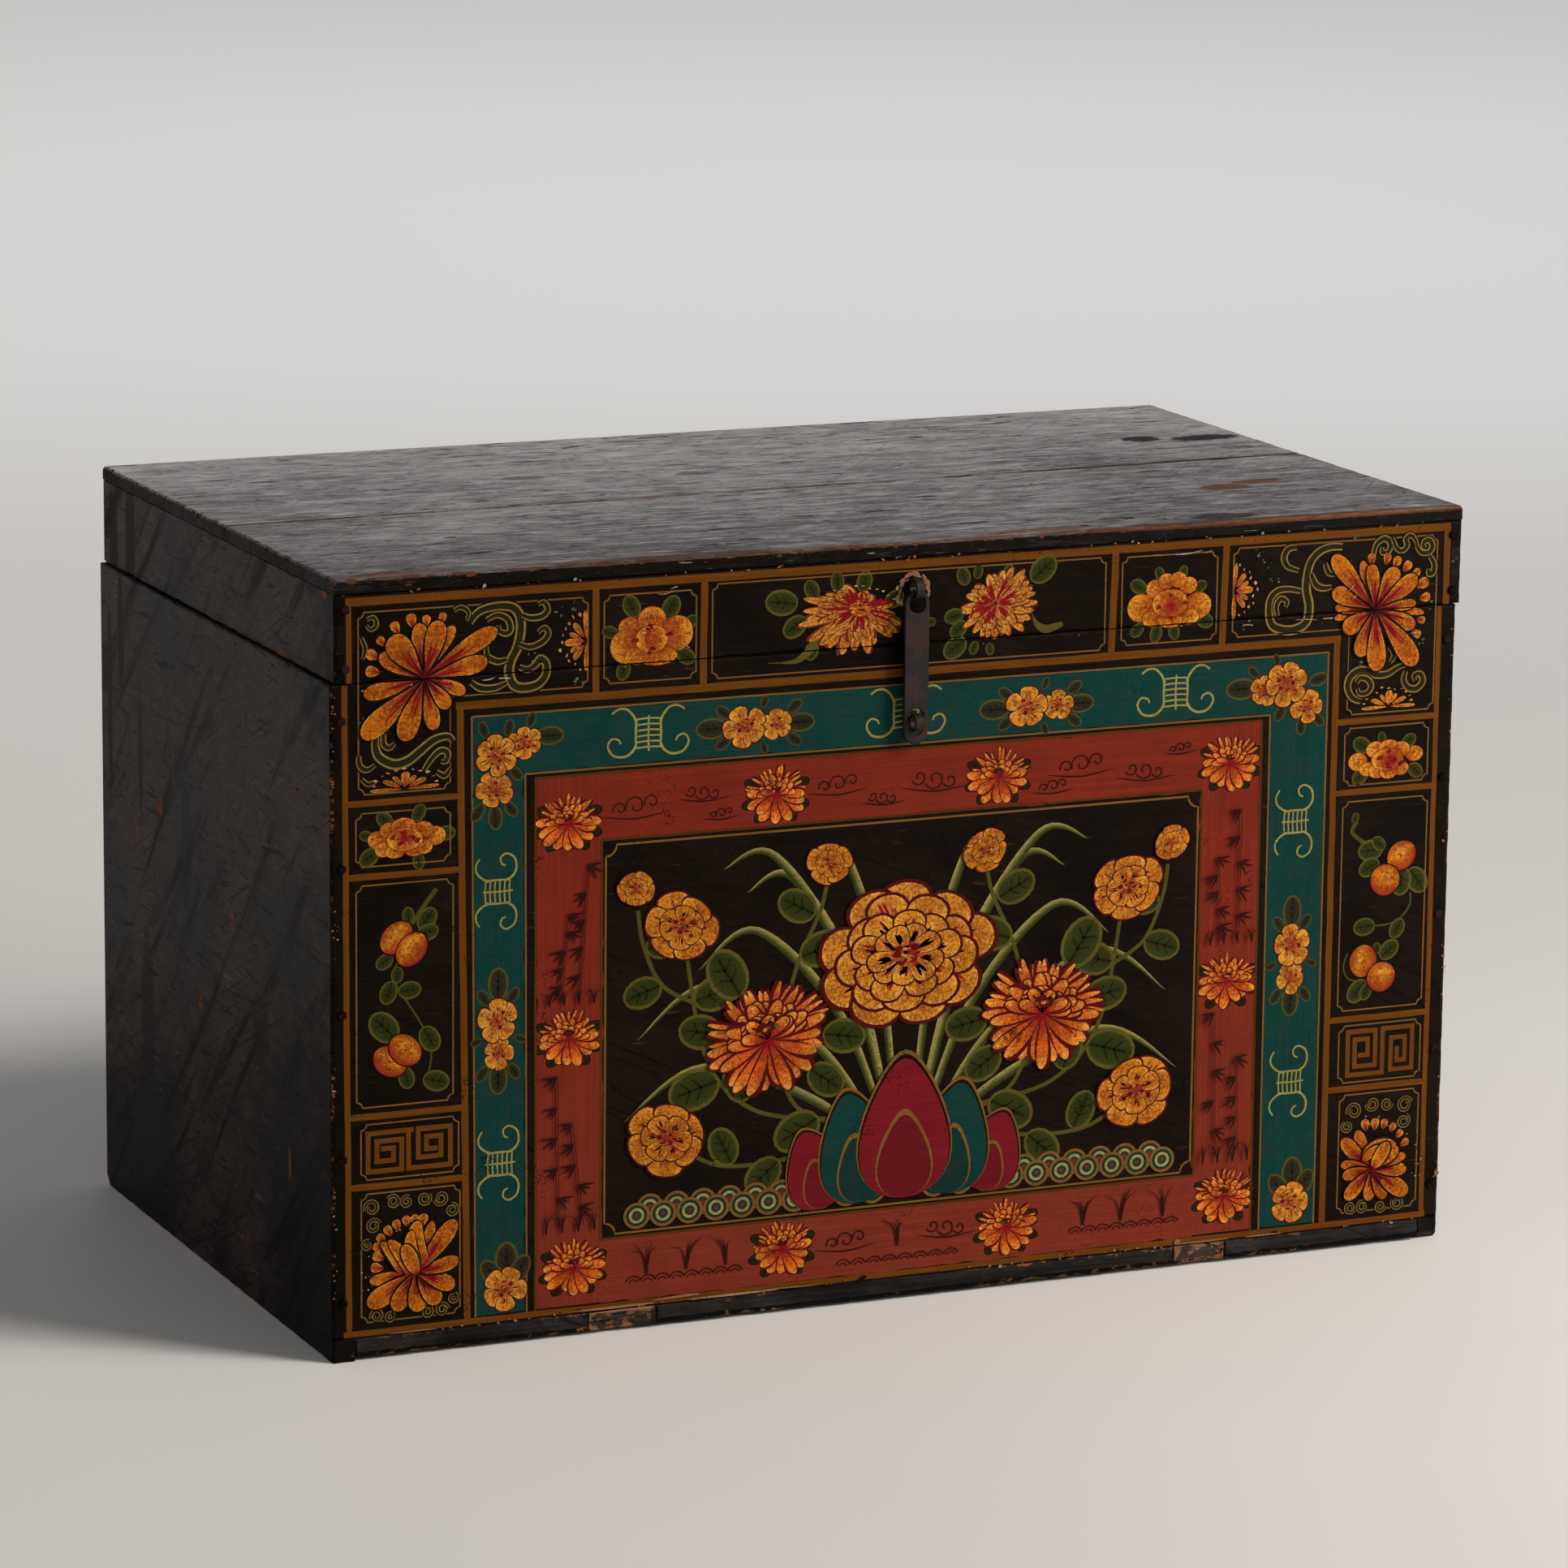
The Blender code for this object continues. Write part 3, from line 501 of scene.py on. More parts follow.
class Film:
    """Coats of paint on the front, drawn in millimetres from the case's lower left corner."""

    material = None

    def __init__(self):
        self.mesh = bmesh.new()
        self.paint = self.mesh.verts.layers.float_color.new("paint")
        self.sizes = bpy.context.scene.trunk_sizes
        self.ink = bpy.context.scene.trunk_paints
        self.corner = joint_box(CASE_BOARDS)[0]
        self.at(0, 0)

    def at(self, x, z, turn=0, wide=1, tall=None, coats=8):
        """Draw the next marks round a point, turned and scaled."""
        tall = wide if tall is None else tall
        self.local = Matrix.Translation((x, z, 0)) @ Matrix.Rotation(math.radians(turn), 4, "Z")
        self.local = self.local @ Matrix.Diagonal((wide, tall, 1, 1))
        self.flipped = wide * tall < 0
        self.coats = coats
        return self

    def ribbon(self, line, half, paint, across=1, upright=1.0, coat=None):
        """Lay one brush mark along a line, on the next coat unless one is named."""
        last = len(line) - 1
        made = bmesh.ops.create_grid(self.mesh, x_segments=last, y_segments=across, size=1)
        lift = self.sizes.coat + self.sizes.step * (self.coats if coat is None else coat)
        self.coats += coat is None
        for vert in made["verts"]:
            t, v = (vert.co.x + 1) / 2, vert.co.y
            i = round(t * last)
            ahead = line[min(i + 1, last)] - line[max(i - 1, 0)]
            side = Vector((-ahead.y, ahead.x)).normalized()
            spot = line[i] + side * v * (half(t) if callable(half) else half)
            shade = paint(t, v) if callable(paint) else paint
            vert[self.paint] = (*shade, upright)
            x, z, _ = self.local @ spot.to_3d()
            vert.co = (self.corner.x + x / 1000, self.corner.y - lift, z / 1000)
        if self.flipped:
            bmesh.ops.reverse_faces(self.mesh, faces=list({f for v in made["verts"] for f in v.link_faces}))

    def line(self, points, width, paint, coat=None):
        self.ribbon([Vector(p) for p in points], width / 2, paint, 1, 1.0, coat)

    def bar(self, x, z, to_x, to_z, width, paint):
        """Lay a broad stripe with a slightly unsteady hand."""
        start, end = Vector((x, z)), Vector((to_x, to_z))
        count = max(2, int((end - start).length / 9))
        side = Vector((z - to_z, to_x - x)).normalized()
        line = []
        for i in range(count + 1):
            spot = start.lerp(end, i / count)
            line.append(spot + side * 0.35 * noise.noise((spot.x * 0.03, spot.y * 0.03, 4.0)))
        upright = 1.0 if abs(to_x - x) > abs(to_z - z) else 0.0

        def half(t):
            return width / 2 * (1 + 0.1 * noise.noise((x + t * 40, z, width)))

        self.ribbon(line, half, paint, 1, upright)

    def petal(self, x, z, angle, reach, half, paint, egg=0.3, bend=0.0, steps=9, across=2, coat=None):
        """Lay a rounded petal that grows from a point."""
        line = []
        for step in range(steps + 1):
            share = (1 - math.cos(math.pi * step / steps)) / 2
            turn = math.radians(angle + bend * (share - 0.5))
            line.append(Vector((x + reach * share * math.cos(turn), z + reach * share * math.sin(turn))))

        def width(t):
            return half * math.sin(math.pi * t) * (1 - egg * math.cos(math.pi * t))

        self.ribbon(line, width, paint, across, 1.0, coat)

    def oval(self, x, z, wide, tall, paint, steps, across):
        """Lay an upright oval round a point."""
        self.petal(x - wide, z, 0, wide * 2, tall, paint, 0, 0, steps, across)

    def leaf(self, x, z, angle, reach, half, fill, rim):
        """Lay a leaf with an outline and veins, on three coats that start at the present one."""
        low = self.coats
        self.petal(x, z, angle, reach, half, rim, 0.0, 0.0, 8, 1, low)
        head = heading(angle)
        base = Vector((x, z)) + head * reach * 0.05
        dim = blend(fill, (0, 0, 0), 0.6)
        body = lambda t, v: blend(dim, fill, 0.35 + 0.65 * abs(v))
        self.petal(*base, angle, reach * 0.89, half * 0.8, body, 0.0, 0.0, 8, 2, low + 1)
        side = Vector((-head.y, head.x))
        vein = blend(dim, (0, 0, 0), 0.4)
        self.line([base, base + head * reach * 0.78], half * 0.12, vein, low + 2)
        for share in (0.3, 0.52):
            root = base + head * reach * share
            for way in (1, -1):
                tip = root + head * reach * 0.14 + side * way * half * 0.5
                self.line([root, tip], half * 0.09, vein, low + 2)

    def scroll(self, line, width):
        """Lay a green scroll with a lit line along each side."""
        dark, lit = self.ink.scroll, blend(self.ink.glow, self.ink.body, 0.3)

        def taper(t):
            return width / 2 * (0.4 + 0.6 * math.sin(math.pi * min(1, 0.16 + t * 0.76)))

        def shade(t, v):
            share = 1 - abs(abs(v) - 0.75) * 4
            return blend(dark, lit, share * (1.0 if v > 0 else 0.75))

        self.ribbon(line, lambda t: taper(t) + 0.8, self.ink.dark)
        self.ribbon(line, taper, shade, 8)

    def notched(self, points, width, notch=4.0):
        """Lay a closed fine line whose corners are cut in by small round notches."""
        spots = [Vector(p) for p in points]
        line = []
        for before, spot, after in zip(spots[-1:] + spots, spots, spots[1:] + spots[:1]):
            come, go = (spot - before).normalized(), (after - spot).normalized()
            cut = notch if come.x * go.y - come.y * go.x < 0 else 0
            for step in range(6 if cut else 1):
                angle = math.pi / 2 * step / 5
                line.append(spot + cut * (go * math.sin(angle) - come * math.cos(angle)))
        self.ribbon(line + line[:1], width / 2, self.ink.line)

    def field(self, x0, z0, x1, z1):
        """Outline a rectangular field."""
        self.notched([(x0, z1), (x1, z1), (x1, z0), (x0, z0)], 1.1)

    def dab(self, x, z, size, paint, seed, coat=None):
        """Lay an uneven spot of paint."""
        luck = random.Random(seed)
        half = size * luck.uniform(0.3, 0.9)
        self.petal(x - size, z, luck.uniform(-40, 40), size * 2, half, paint, 0.2, 0, 5, 1, coat)

    def hang(self, name):
        """Cut the coats at the seam and put one piece on the case and one on the lid."""
        parts = (
            ("case", joint_box(CASE_BOARDS)[1].z - SEAM_GAP), ("lid", joint_box(LID_RAILS)[0].z + SEAM_GAP),
        )
        bmesh.ops.remove_doubles(self.mesh, verts=self.mesh.verts, dist=2e-6)
        for body, seam in parts:
            mesh = self.mesh.copy()
            everything = mesh.verts[:] + mesh.edges[:] + mesh.faces[:]
            bmesh.ops.bisect_plane(
                mesh, geom=everything, dist=1e-7, plane_co=(0, 0, seam), plane_no=(0, 0, 1),
                clear_outer=body == "case", clear_inner=body == "lid",
            )
            if not mesh.faces:
                mesh.free()
                continue
            spots = [v.co for v in mesh.verts]
            low = Vector((min(s.x for s in spots), 0, min(s.z for s in spots)))
            span = Vector((max(s.x for s in spots), 1, max(s.z for s in spots))) - low
            layer = mesh.loops.layers.uv.new("OFBake")
            for face in mesh.faces:
                for loop in face.loops:
                    away = loop.vert.co - low
                    loop[layer].uv = (away.x / span.x, away.z / span.z)
            piece_from(f"{name}_{body}", mesh, self.material, body)
        self.mesh.free()


def petal_paint(root, body, rim, reach=0.5):
    """Return a petal's colours from its root to its rim."""
    dim = blend(body, root, 0.16)
    return lambda t, v: blend(
        blend(root, blend(dim, body, abs(v) * 1.6 - 0.2), (t / reach - 0.28) / 0.45), rim,
        max(5 * abs(v) - 4.1, 6 * t - 5.2) * min(1, t * 2.2),
    )


def heading(angle, reach=1.0):
    """Return a step in the direction of an angle in degrees."""
    return Vector((math.cos(math.radians(angle)), math.sin(math.radians(angle)))) * reach


def bearing(x, z):
    """Return the angle of a step, in degrees."""
    return math.degrees(math.atan2(z, x))


def clamp(value, low, high):
    return min(max(value, low), high)


def blossom(film, seed, petals=5, rings=1, pale=0.0, red=0.75):
    """An open flower of radius 1 with round lobes, fine strokes and crimson flecks in its heart."""
    luck = random.Random(seed)
    ink = film.ink
    edge = blend(ink.root, ink.dark, 0.75)
    turn = luck.uniform(0, 360)
    body = blend(ink.body, ink.rim, pale)
    rim = blend(ink.rim, linear(248, 190, 84), pale)
    for ring in range(rings):
        low = film.coats
        reach = 1 - ring * 0.74 / rings
        half = reach * (1.8 if rings == 1 else 2.15) / petals
        paint = petal_paint(ink.root, body, rim, red + 0.15 * ring)
        for k in range(petals):
            angle = turn + (k + ring / 2) * 360 / petals + luck.uniform(-6, 6)
            grown = reach * luck.uniform(0.9, 1.05)
            level = low + 4 * (k % 2 if k < petals - 1 else 2)
            film.petal(0, 0, angle, grown * 1.05, half * 1.13, edge, 0.8, 0, 12, 1, level)
            film.petal(0, 0, angle, grown, half, paint, 0.8, 0, 13, 6, level + 1)
            for stroke in range(9):
                way = angle + (stroke - 4) * 62 / petals / 4 + luck.uniform(-4, 4)
                tint = blend(ink.root, rim, luck.choice((0, 0.1, 0.25, 0.8, 1.0)))
                root = heading(way, grown * luck.uniform(0.3, 0.55))
                film.petal(*root, way, grown * luck.uniform(0.2, 0.4), 0.02, tint, 0, 0, 4, 1, level + 2)
        film.coats = low + 12
    for k in range(petals):
        spot = heading(turn + (k + 0.5) * 360 / petals, 0.3 / rings + 0.04)
        tint = blend(ink.root, ink.dark, luck.uniform(0.3, 0.7))
        film.dab(*spot, 0.11 / rings ** 0.5, tint, k, film.coats + k % 3)
    for k in range(8):
        spot = heading(luck.uniform(0, 360), luck.uniform(0, 0.14))
        film.dab(*spot, 0.045, luck.choice((ink.leaf_rim, ink.rim, ink.root)), k, film.coats + 3 + k % 2)
    film.coats += 5


def mum(film, seed, leaves=True, count=9):
    """A chrysanthemum of radius 1: long petals below, thin ones above a small cup."""
    luck = random.Random(seed)
    ink = film.ink
    edge = blend(ink.root, ink.dark, 0.7)
    if leaves:
        for angle in (151, 199, 236, 302, 336, 24):
            film.leaf(*heading(angle, 0.46), angle, 0.64, 0.2, blend(ink.leaf, ink.dark, 0.6), ink.dark)
        film.coats += 3
    orange, bright = linear(236, 108, 30), linear(252, 184, 76)
    rows = (
        (count + 4, 14, 166, 0.98, 0.045, 0.3, 1.4), (count, 176, 364, 0.96, 1.2 / count, 0.65, 1.1),
        (count - 1, 6, 174, 0.68, 0.085, 0.5, 1.2), (count - 3, 18, 162, 0.46, 0.085, 0.5, 1.3),
    )
    for number, start, end, reach, half, egg, red in rows:
        low = film.coats

        def paint(t, v):
            warm = blend(ink.root, orange, (t / red - 0.22) / 0.3)
            return blend(warm, bright, (t - 0.58) / 0.36 - abs(v) * 0.25)

        for k in range(number):
            angle = start + (end - start) * k / (number - 1) + luck.uniform(-4, 4)
            grown = reach * luck.uniform(0.84, 1.04)
            level = low + 2 * (k % 3)
            film.petal(0, 0, angle, grown + 0.03, half * 1.15 + 0.025, edge, egg, 0, 8, 1, level)
            film.petal(0, 0, angle, grown, half, paint, egg, luck.uniform(-10, 10), 10, 4, level + 1)
        film.coats = low + 6
    film.oval(0, 0.2, 0.16, 0.11, edge, 8, 1)
    for k in range(9):
        spot = Vector((0, 0.24)) + heading(luck.uniform(0, 360), luck.uniform(0.04, 0.2))
        film.dab(*spot, 0.04, luck.choice((ink.leaf_rim, ink.rim, ink.dark)), k, film.coats)
    film.coats += 1


def lotus(film, x, z, tips, fringe, seed, egg=0.78):
    """A wide open flower whose broad petals reach given points, with small petals behind."""
    luck = random.Random(seed)
    ink = film.ink
    paint = petal_paint(blend(ink.root, ink.dark, 0.15), blend(ink.body, ink.root, 0.06), ink.rim, 0.85)
    stroke = blend(ink.root, ink.dark, 0.45)
    middle = Vector((x, z))
    for spot_x, spot_z, size in fringe:
        angle = bearing(spot_x - x, spot_z - z)
        root = Vector((spot_x, spot_z)) - heading(angle, size)
        film.petal(*root, angle, size * 2.3, size * 0.78, paint, 0.45, 0, 9, 4, film.coats)
        vein = [root + heading(angle, size * share) for share in (0.4, 1.3)]
        film.line(vein, 0.6, stroke, film.coats + 1)
    film.coats += 2
    for tip_x, tip_z, half in tips:
        away = Vector((tip_x, tip_z)) - middle
        angle = bearing(*away)
        bend = luck.uniform(-6, 6)
        half = half * 0.8
        film.petal(x, z, angle, away.length + 1.2, half + 1.7, ink.dark, egg * 0.7, bend, 12, 1)
        film.petal(x, z, angle, away.length, half, paint, min(0.94, egg * 1.2), bend, 16, 10)
        for _ in range(12):
            way = angle + luck.uniform(-1, 1) * math.degrees(half / away.length) * 0.8
            root = middle + heading(way, away.length * luck.uniform(0.12, 0.34))
            tint = blend(stroke, ink.root, luck.random())
            reach = away.length * luck.uniform(0.2, 0.46)
            film.petal(*root, way, reach, luck.uniform(0.25, 0.5), tint, 0, 0, 4, 1)
        film.coats += 1
    for _ in range(14):
        way, reach = luck.uniform(0, 360), luck.uniform(6, 15)
        film.petal(x, z, way, reach, 0.5, blend(stroke, ink.dark, luck.uniform(0.2, 0.9)), 0, 0, 5, 1)
    film.coats += 1


def cluster(film, lobes, spots, seed, deep=0.25, swirl=None):
    """A full flower of overlapping round lobes with crimson between them, drawn from the back forward."""
    luck = random.Random(seed)
    ink = film.ink
    edge = blend(ink.root, ink.dark, 0.45)
    heart = Vector(spots[0])
    for spot in spots[1:]:
        heart = heart + Vector(spot)
    heart = heart / len(spots)
    for x, z, wide, tall in lobes:
        middle = Vector((x, z))
        span = (middle - heart).length + (wide + tall) / 2

        def skin(t, v):
            spot = Vector((x - wide * math.cos(math.pi * t), z + v * tall * math.sin(math.pi * t)))
            depth = (spot - heart).length / span
            return blend(blend(ink.root, ink.body, depth * 1.7 - deep), ink.rim, 2.6 * depth - 1.7)

        film.oval(x, z, wide + 0.45, tall + 0.45, edge, 12, 1)
        film.oval(x, z, wide, tall, skin, 14, 8)
        for k in range(16):
            way = k * 24 + luck.uniform(-12, 12)
            spot = middle + heading(way, min(wide, tall) * luck.uniform(0.2, 0.7))
            away = spot - heart
            way = bearing(*away)
            tint = blend(ink.root, ink.rim, luck.choice((0.0, 0.15, 0.3, 0.9, 1.0)))
            reach = luck.uniform(0.25, 0.5) * min(wide, tall)
            film.petal(*spot, way, reach, 0.3, tint, 0, 0, 4, 1, film.coats)
        film.coats += 1
    for k, (x, z) in enumerate(spots):
        for lay in range(4):
            tint = blend(ink.root, ink.dark, luck.uniform(0.1, 0.55))
            spot = x + luck.uniform(-1.6, 1.6), z + luck.uniform(-1, 1)
            film.dab(*spot, luck.uniform(1, 2.2), tint, k * 4 + lay)
    if swirl:
        x, z, size = swirl
        film.oval(x, z, size, size, blend(ink.body, ink.root, 0.35), 12, 2)
        film.ribbon(spiral(x, z, size, size * 0.2, 90, 760, 40), 0.4, blend(ink.root, ink.dark, 0.2))


def half_bloom(film, seed, warm=1.0):
    """Half a flower of radius 1 that opens upward: loose drops round a root, with dots over them."""
    luck = random.Random(seed)
    ink = film.ink
    body = blend(ink.body, ink.root, 0.25 * warm)
    paint = petal_paint(blend(body, ink.root, warm), body, ink.rim, 0.95)
    for angle, away, reach, half in (
        (2, 0.06, 0.94, 0.08), (178, 0.06, 0.94, 0.08), (36, 0.16, 0.6, 0.1), (64, 0.2, 0.48, 0.07),
        (91, 0.08, 0.72, 0.12), (117, 0.2, 0.48, 0.07), (145, 0.16, 0.6, 0.1),
    ):
        way = angle + luck.uniform(-4, 4)
        film.petal(*heading(angle, away), way, reach, half, paint, 0.4, 0, 9, 2, film.coats)
    pale = blend(ink.rim, linear(220, 170, 150), 0.5 * warm)
    for k in range(11):
        spot = heading(14 + 152 * k / 10, luck.uniform(0.84, 0.98))
        film.dab(*spot, luck.uniform(0.045, 0.075), pale, k, film.coats)
    film.coats += 1


def aster(film, seed, heart, count=27, disc=False):
    """A ruffled flower of radius 1 whose pointed petals spread from an off-centre heart."""
    luck = random.Random(seed)
    ink = film.ink
    edge = blend(blend(ink.root, ink.body, 0.25), ink.dark, 0.55)
    heart = Vector(heart)
    body, rim = blend(ink.body, ink.rim, 0.5), blend(ink.rim, linear(246, 196, 96), 0.4)
    for share, half, reach in ((1.0, 0.095, 1.15), (0.74, 0.08, 1.35), (0.5, 0.06, 1.5)):
        paint = petal_paint(ink.root, body, rim, reach)
        low = film.coats
        for k in range(count):
            angle = k * 360 / count + luck.uniform(-5, 5)
            tip = heading(angle, luck.uniform(0.8, 1.02)) * share - heart * share
            angle = bearing(*tip)
            level = low + 2 * (k % 4)
            film.petal(*heart, angle, tip.length + 0.03, half * 1.25, edge, 0.2, 0, 8, 1, level)
            film.petal(*heart, angle, tip.length, half, paint, 0.2, luck.uniform(-8, 8), 10, 2, level + 1)
        film.coats = low + 9
    for k in range(34):
        way = k * 137.5 + luck.uniform(-20, 20)
        root = heart + heading(way, luck.uniform(0.05, 0.25))
        tint = blend(ink.root, ink.dark, luck.uniform(0.0, 0.3))
        film.petal(*root, way, luck.uniform(0.25, 0.5), 0.034, tint, 0, 0, 5, 1)
    if disc:
        film.oval(*heart, 0.2, 0.2, blend(ink.body, ink.root, 0.3), 10, 4)
        for k in range(26):
            spot = heart + heading(luck.uniform(0, 360), luck.uniform(0, 0.2))
            film.dab(*spot, 0.035, luck.choice((ink.rim, ink.rim, ink.root, ink.dark)), k, film.coats)
        film.coats += 1
    for k in range(12):
        spot = heart + heading(30 + k * 12, luck.uniform(0.62, 0.72))
        film.dab(*spot, 0.03, blend(ink.rim, (0.8, 0.8, 0.7), 0.4), k, film.coats + 1)
    film.coats += 2


def emblem(film):
    """A plain scroll-and-ladder ornament."""
    lit = film.ink.glow
    shade = lambda t, v: blend(blend(lit, film.ink.scroll, 0.35), lit, 1 - abs(v))
    for side in (-1, 1):
        upper = [(9 * side, 8), (11 * side, 13), (16 * side, 18), (22 * side, 18.5), (27 * side, 15.5)]
        lower = [(9 * side, -7), (12 * side, -12), (18 * side, -15), (26 * side, -13.5), (30 * side, -7)]
        lower += [(27 * side, -2), (22 * side, -3), (20.5 * side, -6)]
        for points in (upper, lower, [(9 * side, 10), (9.4 * side, 0), (9 * side, -10)]):
            film.ribbon(curve(points), lambda t: 1.0 - 0.3 * t, shade, 2)
    film.ribbon(curve([(0.4, 13), (0, 0), (0.4, -12)]), 0.7, shade, 2)
    for k in range(6):
        film.ribbon(curve([(-9, 10.5 - k * 4), (0, 11 - k * 4), (9, 10.5 - k * 4)]), 0.65, shade, 2)


def lay_leaves(film, spots, width, fill, rim):
    """Lay leaves of one kind on four sets of coats in turn, so that neighbours can overlap."""
    low = film.coats
    for k, (x, z, angle, reach) in enumerate(spots):
        film.coats = low + 3 * (k % 4)
        film.leaf(x, z, angle, reach, reach * width, fill, rim)
    film.coats = low + 12


def teal_leaves(film, spots):
    """Leaves drawn mostly in outline, as on the teal band."""
    fill = blend(film.ink.teal, linear(52, 46, 20), 0.75)
    lay_leaves(film, spots, 0.32, fill, blend(film.ink.leaf_rim, film.ink.dark, 0.15))


def black_leaves(film, spots):
    """Full green leaves, as on the black ground."""
    lay_leaves(film, spots, 0.38, film.ink.leaf, film.ink.leaf_rim)


def pair(film, x, z, turn, seed):
    """Two blossoms side by side with leaves at both ends."""
    film.at(x, z, turn)
    spots = [(-22, 0, 180, 24), (22, 0, 0, 22), (-20, 7, 145, 13), (-20, -7, 215, 13), (23, 8, 35, 13)]
    teal_leaves(film, spots + [(23, -8, 325, 13), (4, 12, 70, 9), (4, -12, 290, 9)])
    coats = film.coats
    for away, radius, petals in ((15, 12, 5), (-9, 16, 5)):
        spot = Vector((x, z)) + heading(turn, away)
        film.at(*spot, turn, radius, radius * 0.92, coats)
        blossom(film, seed + radius, petals, 1, 0.75)
        coats = film.coats


def fruit(film, x, z, turn, wide, tall, coats):
    """A round fruit with a lit side and a dark cleft."""
    ink = film.ink
    film.at(x, z, turn, wide, tall, coats)

    def skin(t, v):
        blush = abs(v - 0.25) * 0.9 + abs(t - 0.5) * 0.7 - 0.25
        lit = 0.9 - 1.7 * math.hypot(v - 0.3, 2 * t - 1.1)
        return blend(blend(ink.body, ink.root, blush), ink.rim, lit)

    film.oval(0, 0, 1.08, 1.08, ink.dark, 14, 1)
    film.oval(0, 0, 1, 1, skin, 14, 8)
    luck = random.Random(int(x))
    for k in range(14):
        spot = heading(luck.uniform(0, 360), luck.uniform(0, 0.8))
        size, share = luck.uniform(0.04, 0.1), luck.uniform(0, 0.8)
        film.dab(*spot, size, blend(ink.root, ink.body, share), k, film.coats)
    return film.coats + 1


def fret(film, paths):
    """Square spirals that wind into each other."""
    for path in paths:
        for a, b in zip(path, path[1:]):
            way = (Vector(b) - Vector(a)).normalized() * 1.75
            film.bar(*(Vector(a) - way), *(Vector(b) + way), 3.5, film.ink.gold)


def tuft(film, x, z, size, seed):
    """A tuft of grass in fine lines."""
    luck = random.Random(seed)
    for _ in range(5):
        lean = luck.uniform(-0.6, 0.6)
        tip = x + lean * size, z + size * luck.uniform(0.7, 1)
        line = curve([(x, z), (x + lean * size * 0.3, z + size * 0.6), tip])
        film.ribbon(line, lambda t: 0.6 * (1.1 - t), film.ink.ink)


def cloud(film, x, z, size, flip=1):
    """A scrolled cloud in fine lines."""
    for away, rise, radius, turn in ((0, 0, 1, 400), (1.5, 0.25, 0.75, 380), (-1.45, -0.2, 0.7, 360)):
        spot = x + away * size * flip, z + rise * size
        line = spiral(*spot, radius * size, radius * size * 0.22, 200, -turn * flip)
        film.ribbon(line, 0.5, film.ink.ink)
    sweep = ((-3.4, 0.75), (0, 1.1), (3.2, 0.6))
    tail = [(x + away * size * flip, z - drop * size) for away, drop in sweep]
    film.ribbon(curve(tail), lambda t: 0.5 * math.sin(math.pi * t) + 0.1, film.ink.ink)


def bamboo(film, x, z, tall, seed):
    """A jointed stalk with narrow leaves in fine lines."""
    luck = random.Random(seed)
    lean = luck.uniform(-0.12, 0.12)
    for k in range(5):
        a, b = z + tall * k / 5 + 0.8, z + tall * (k + 1) / 5 - 0.8
        for side in (-1, 1):
            film.line([(x + lean * (a - z) + side, a), (x + lean * (b - z) + side, b)], 0.55, film.ink.ink)
        joint = x + lean * (b - z)
        film.line([(joint - 1.6, b + 0.8), (joint + 1.6, b + 0.8)], 0.6, film.ink.ink)
        way = luck.choice((-28, 208))
        root = Vector((joint, b))
        for spread in (-24, 6, 34):
            angle = way + spread + luck.uniform(-6, 6)
            film.petal(*root, angle, luck.uniform(9, 13), 0.85, film.ink.ink, -0.3, 0, 7, 1)


class TrunkOperator:
    """Shared parts of the trunk's operators."""

    bl_options = {"REGISTER", "UNDO"}


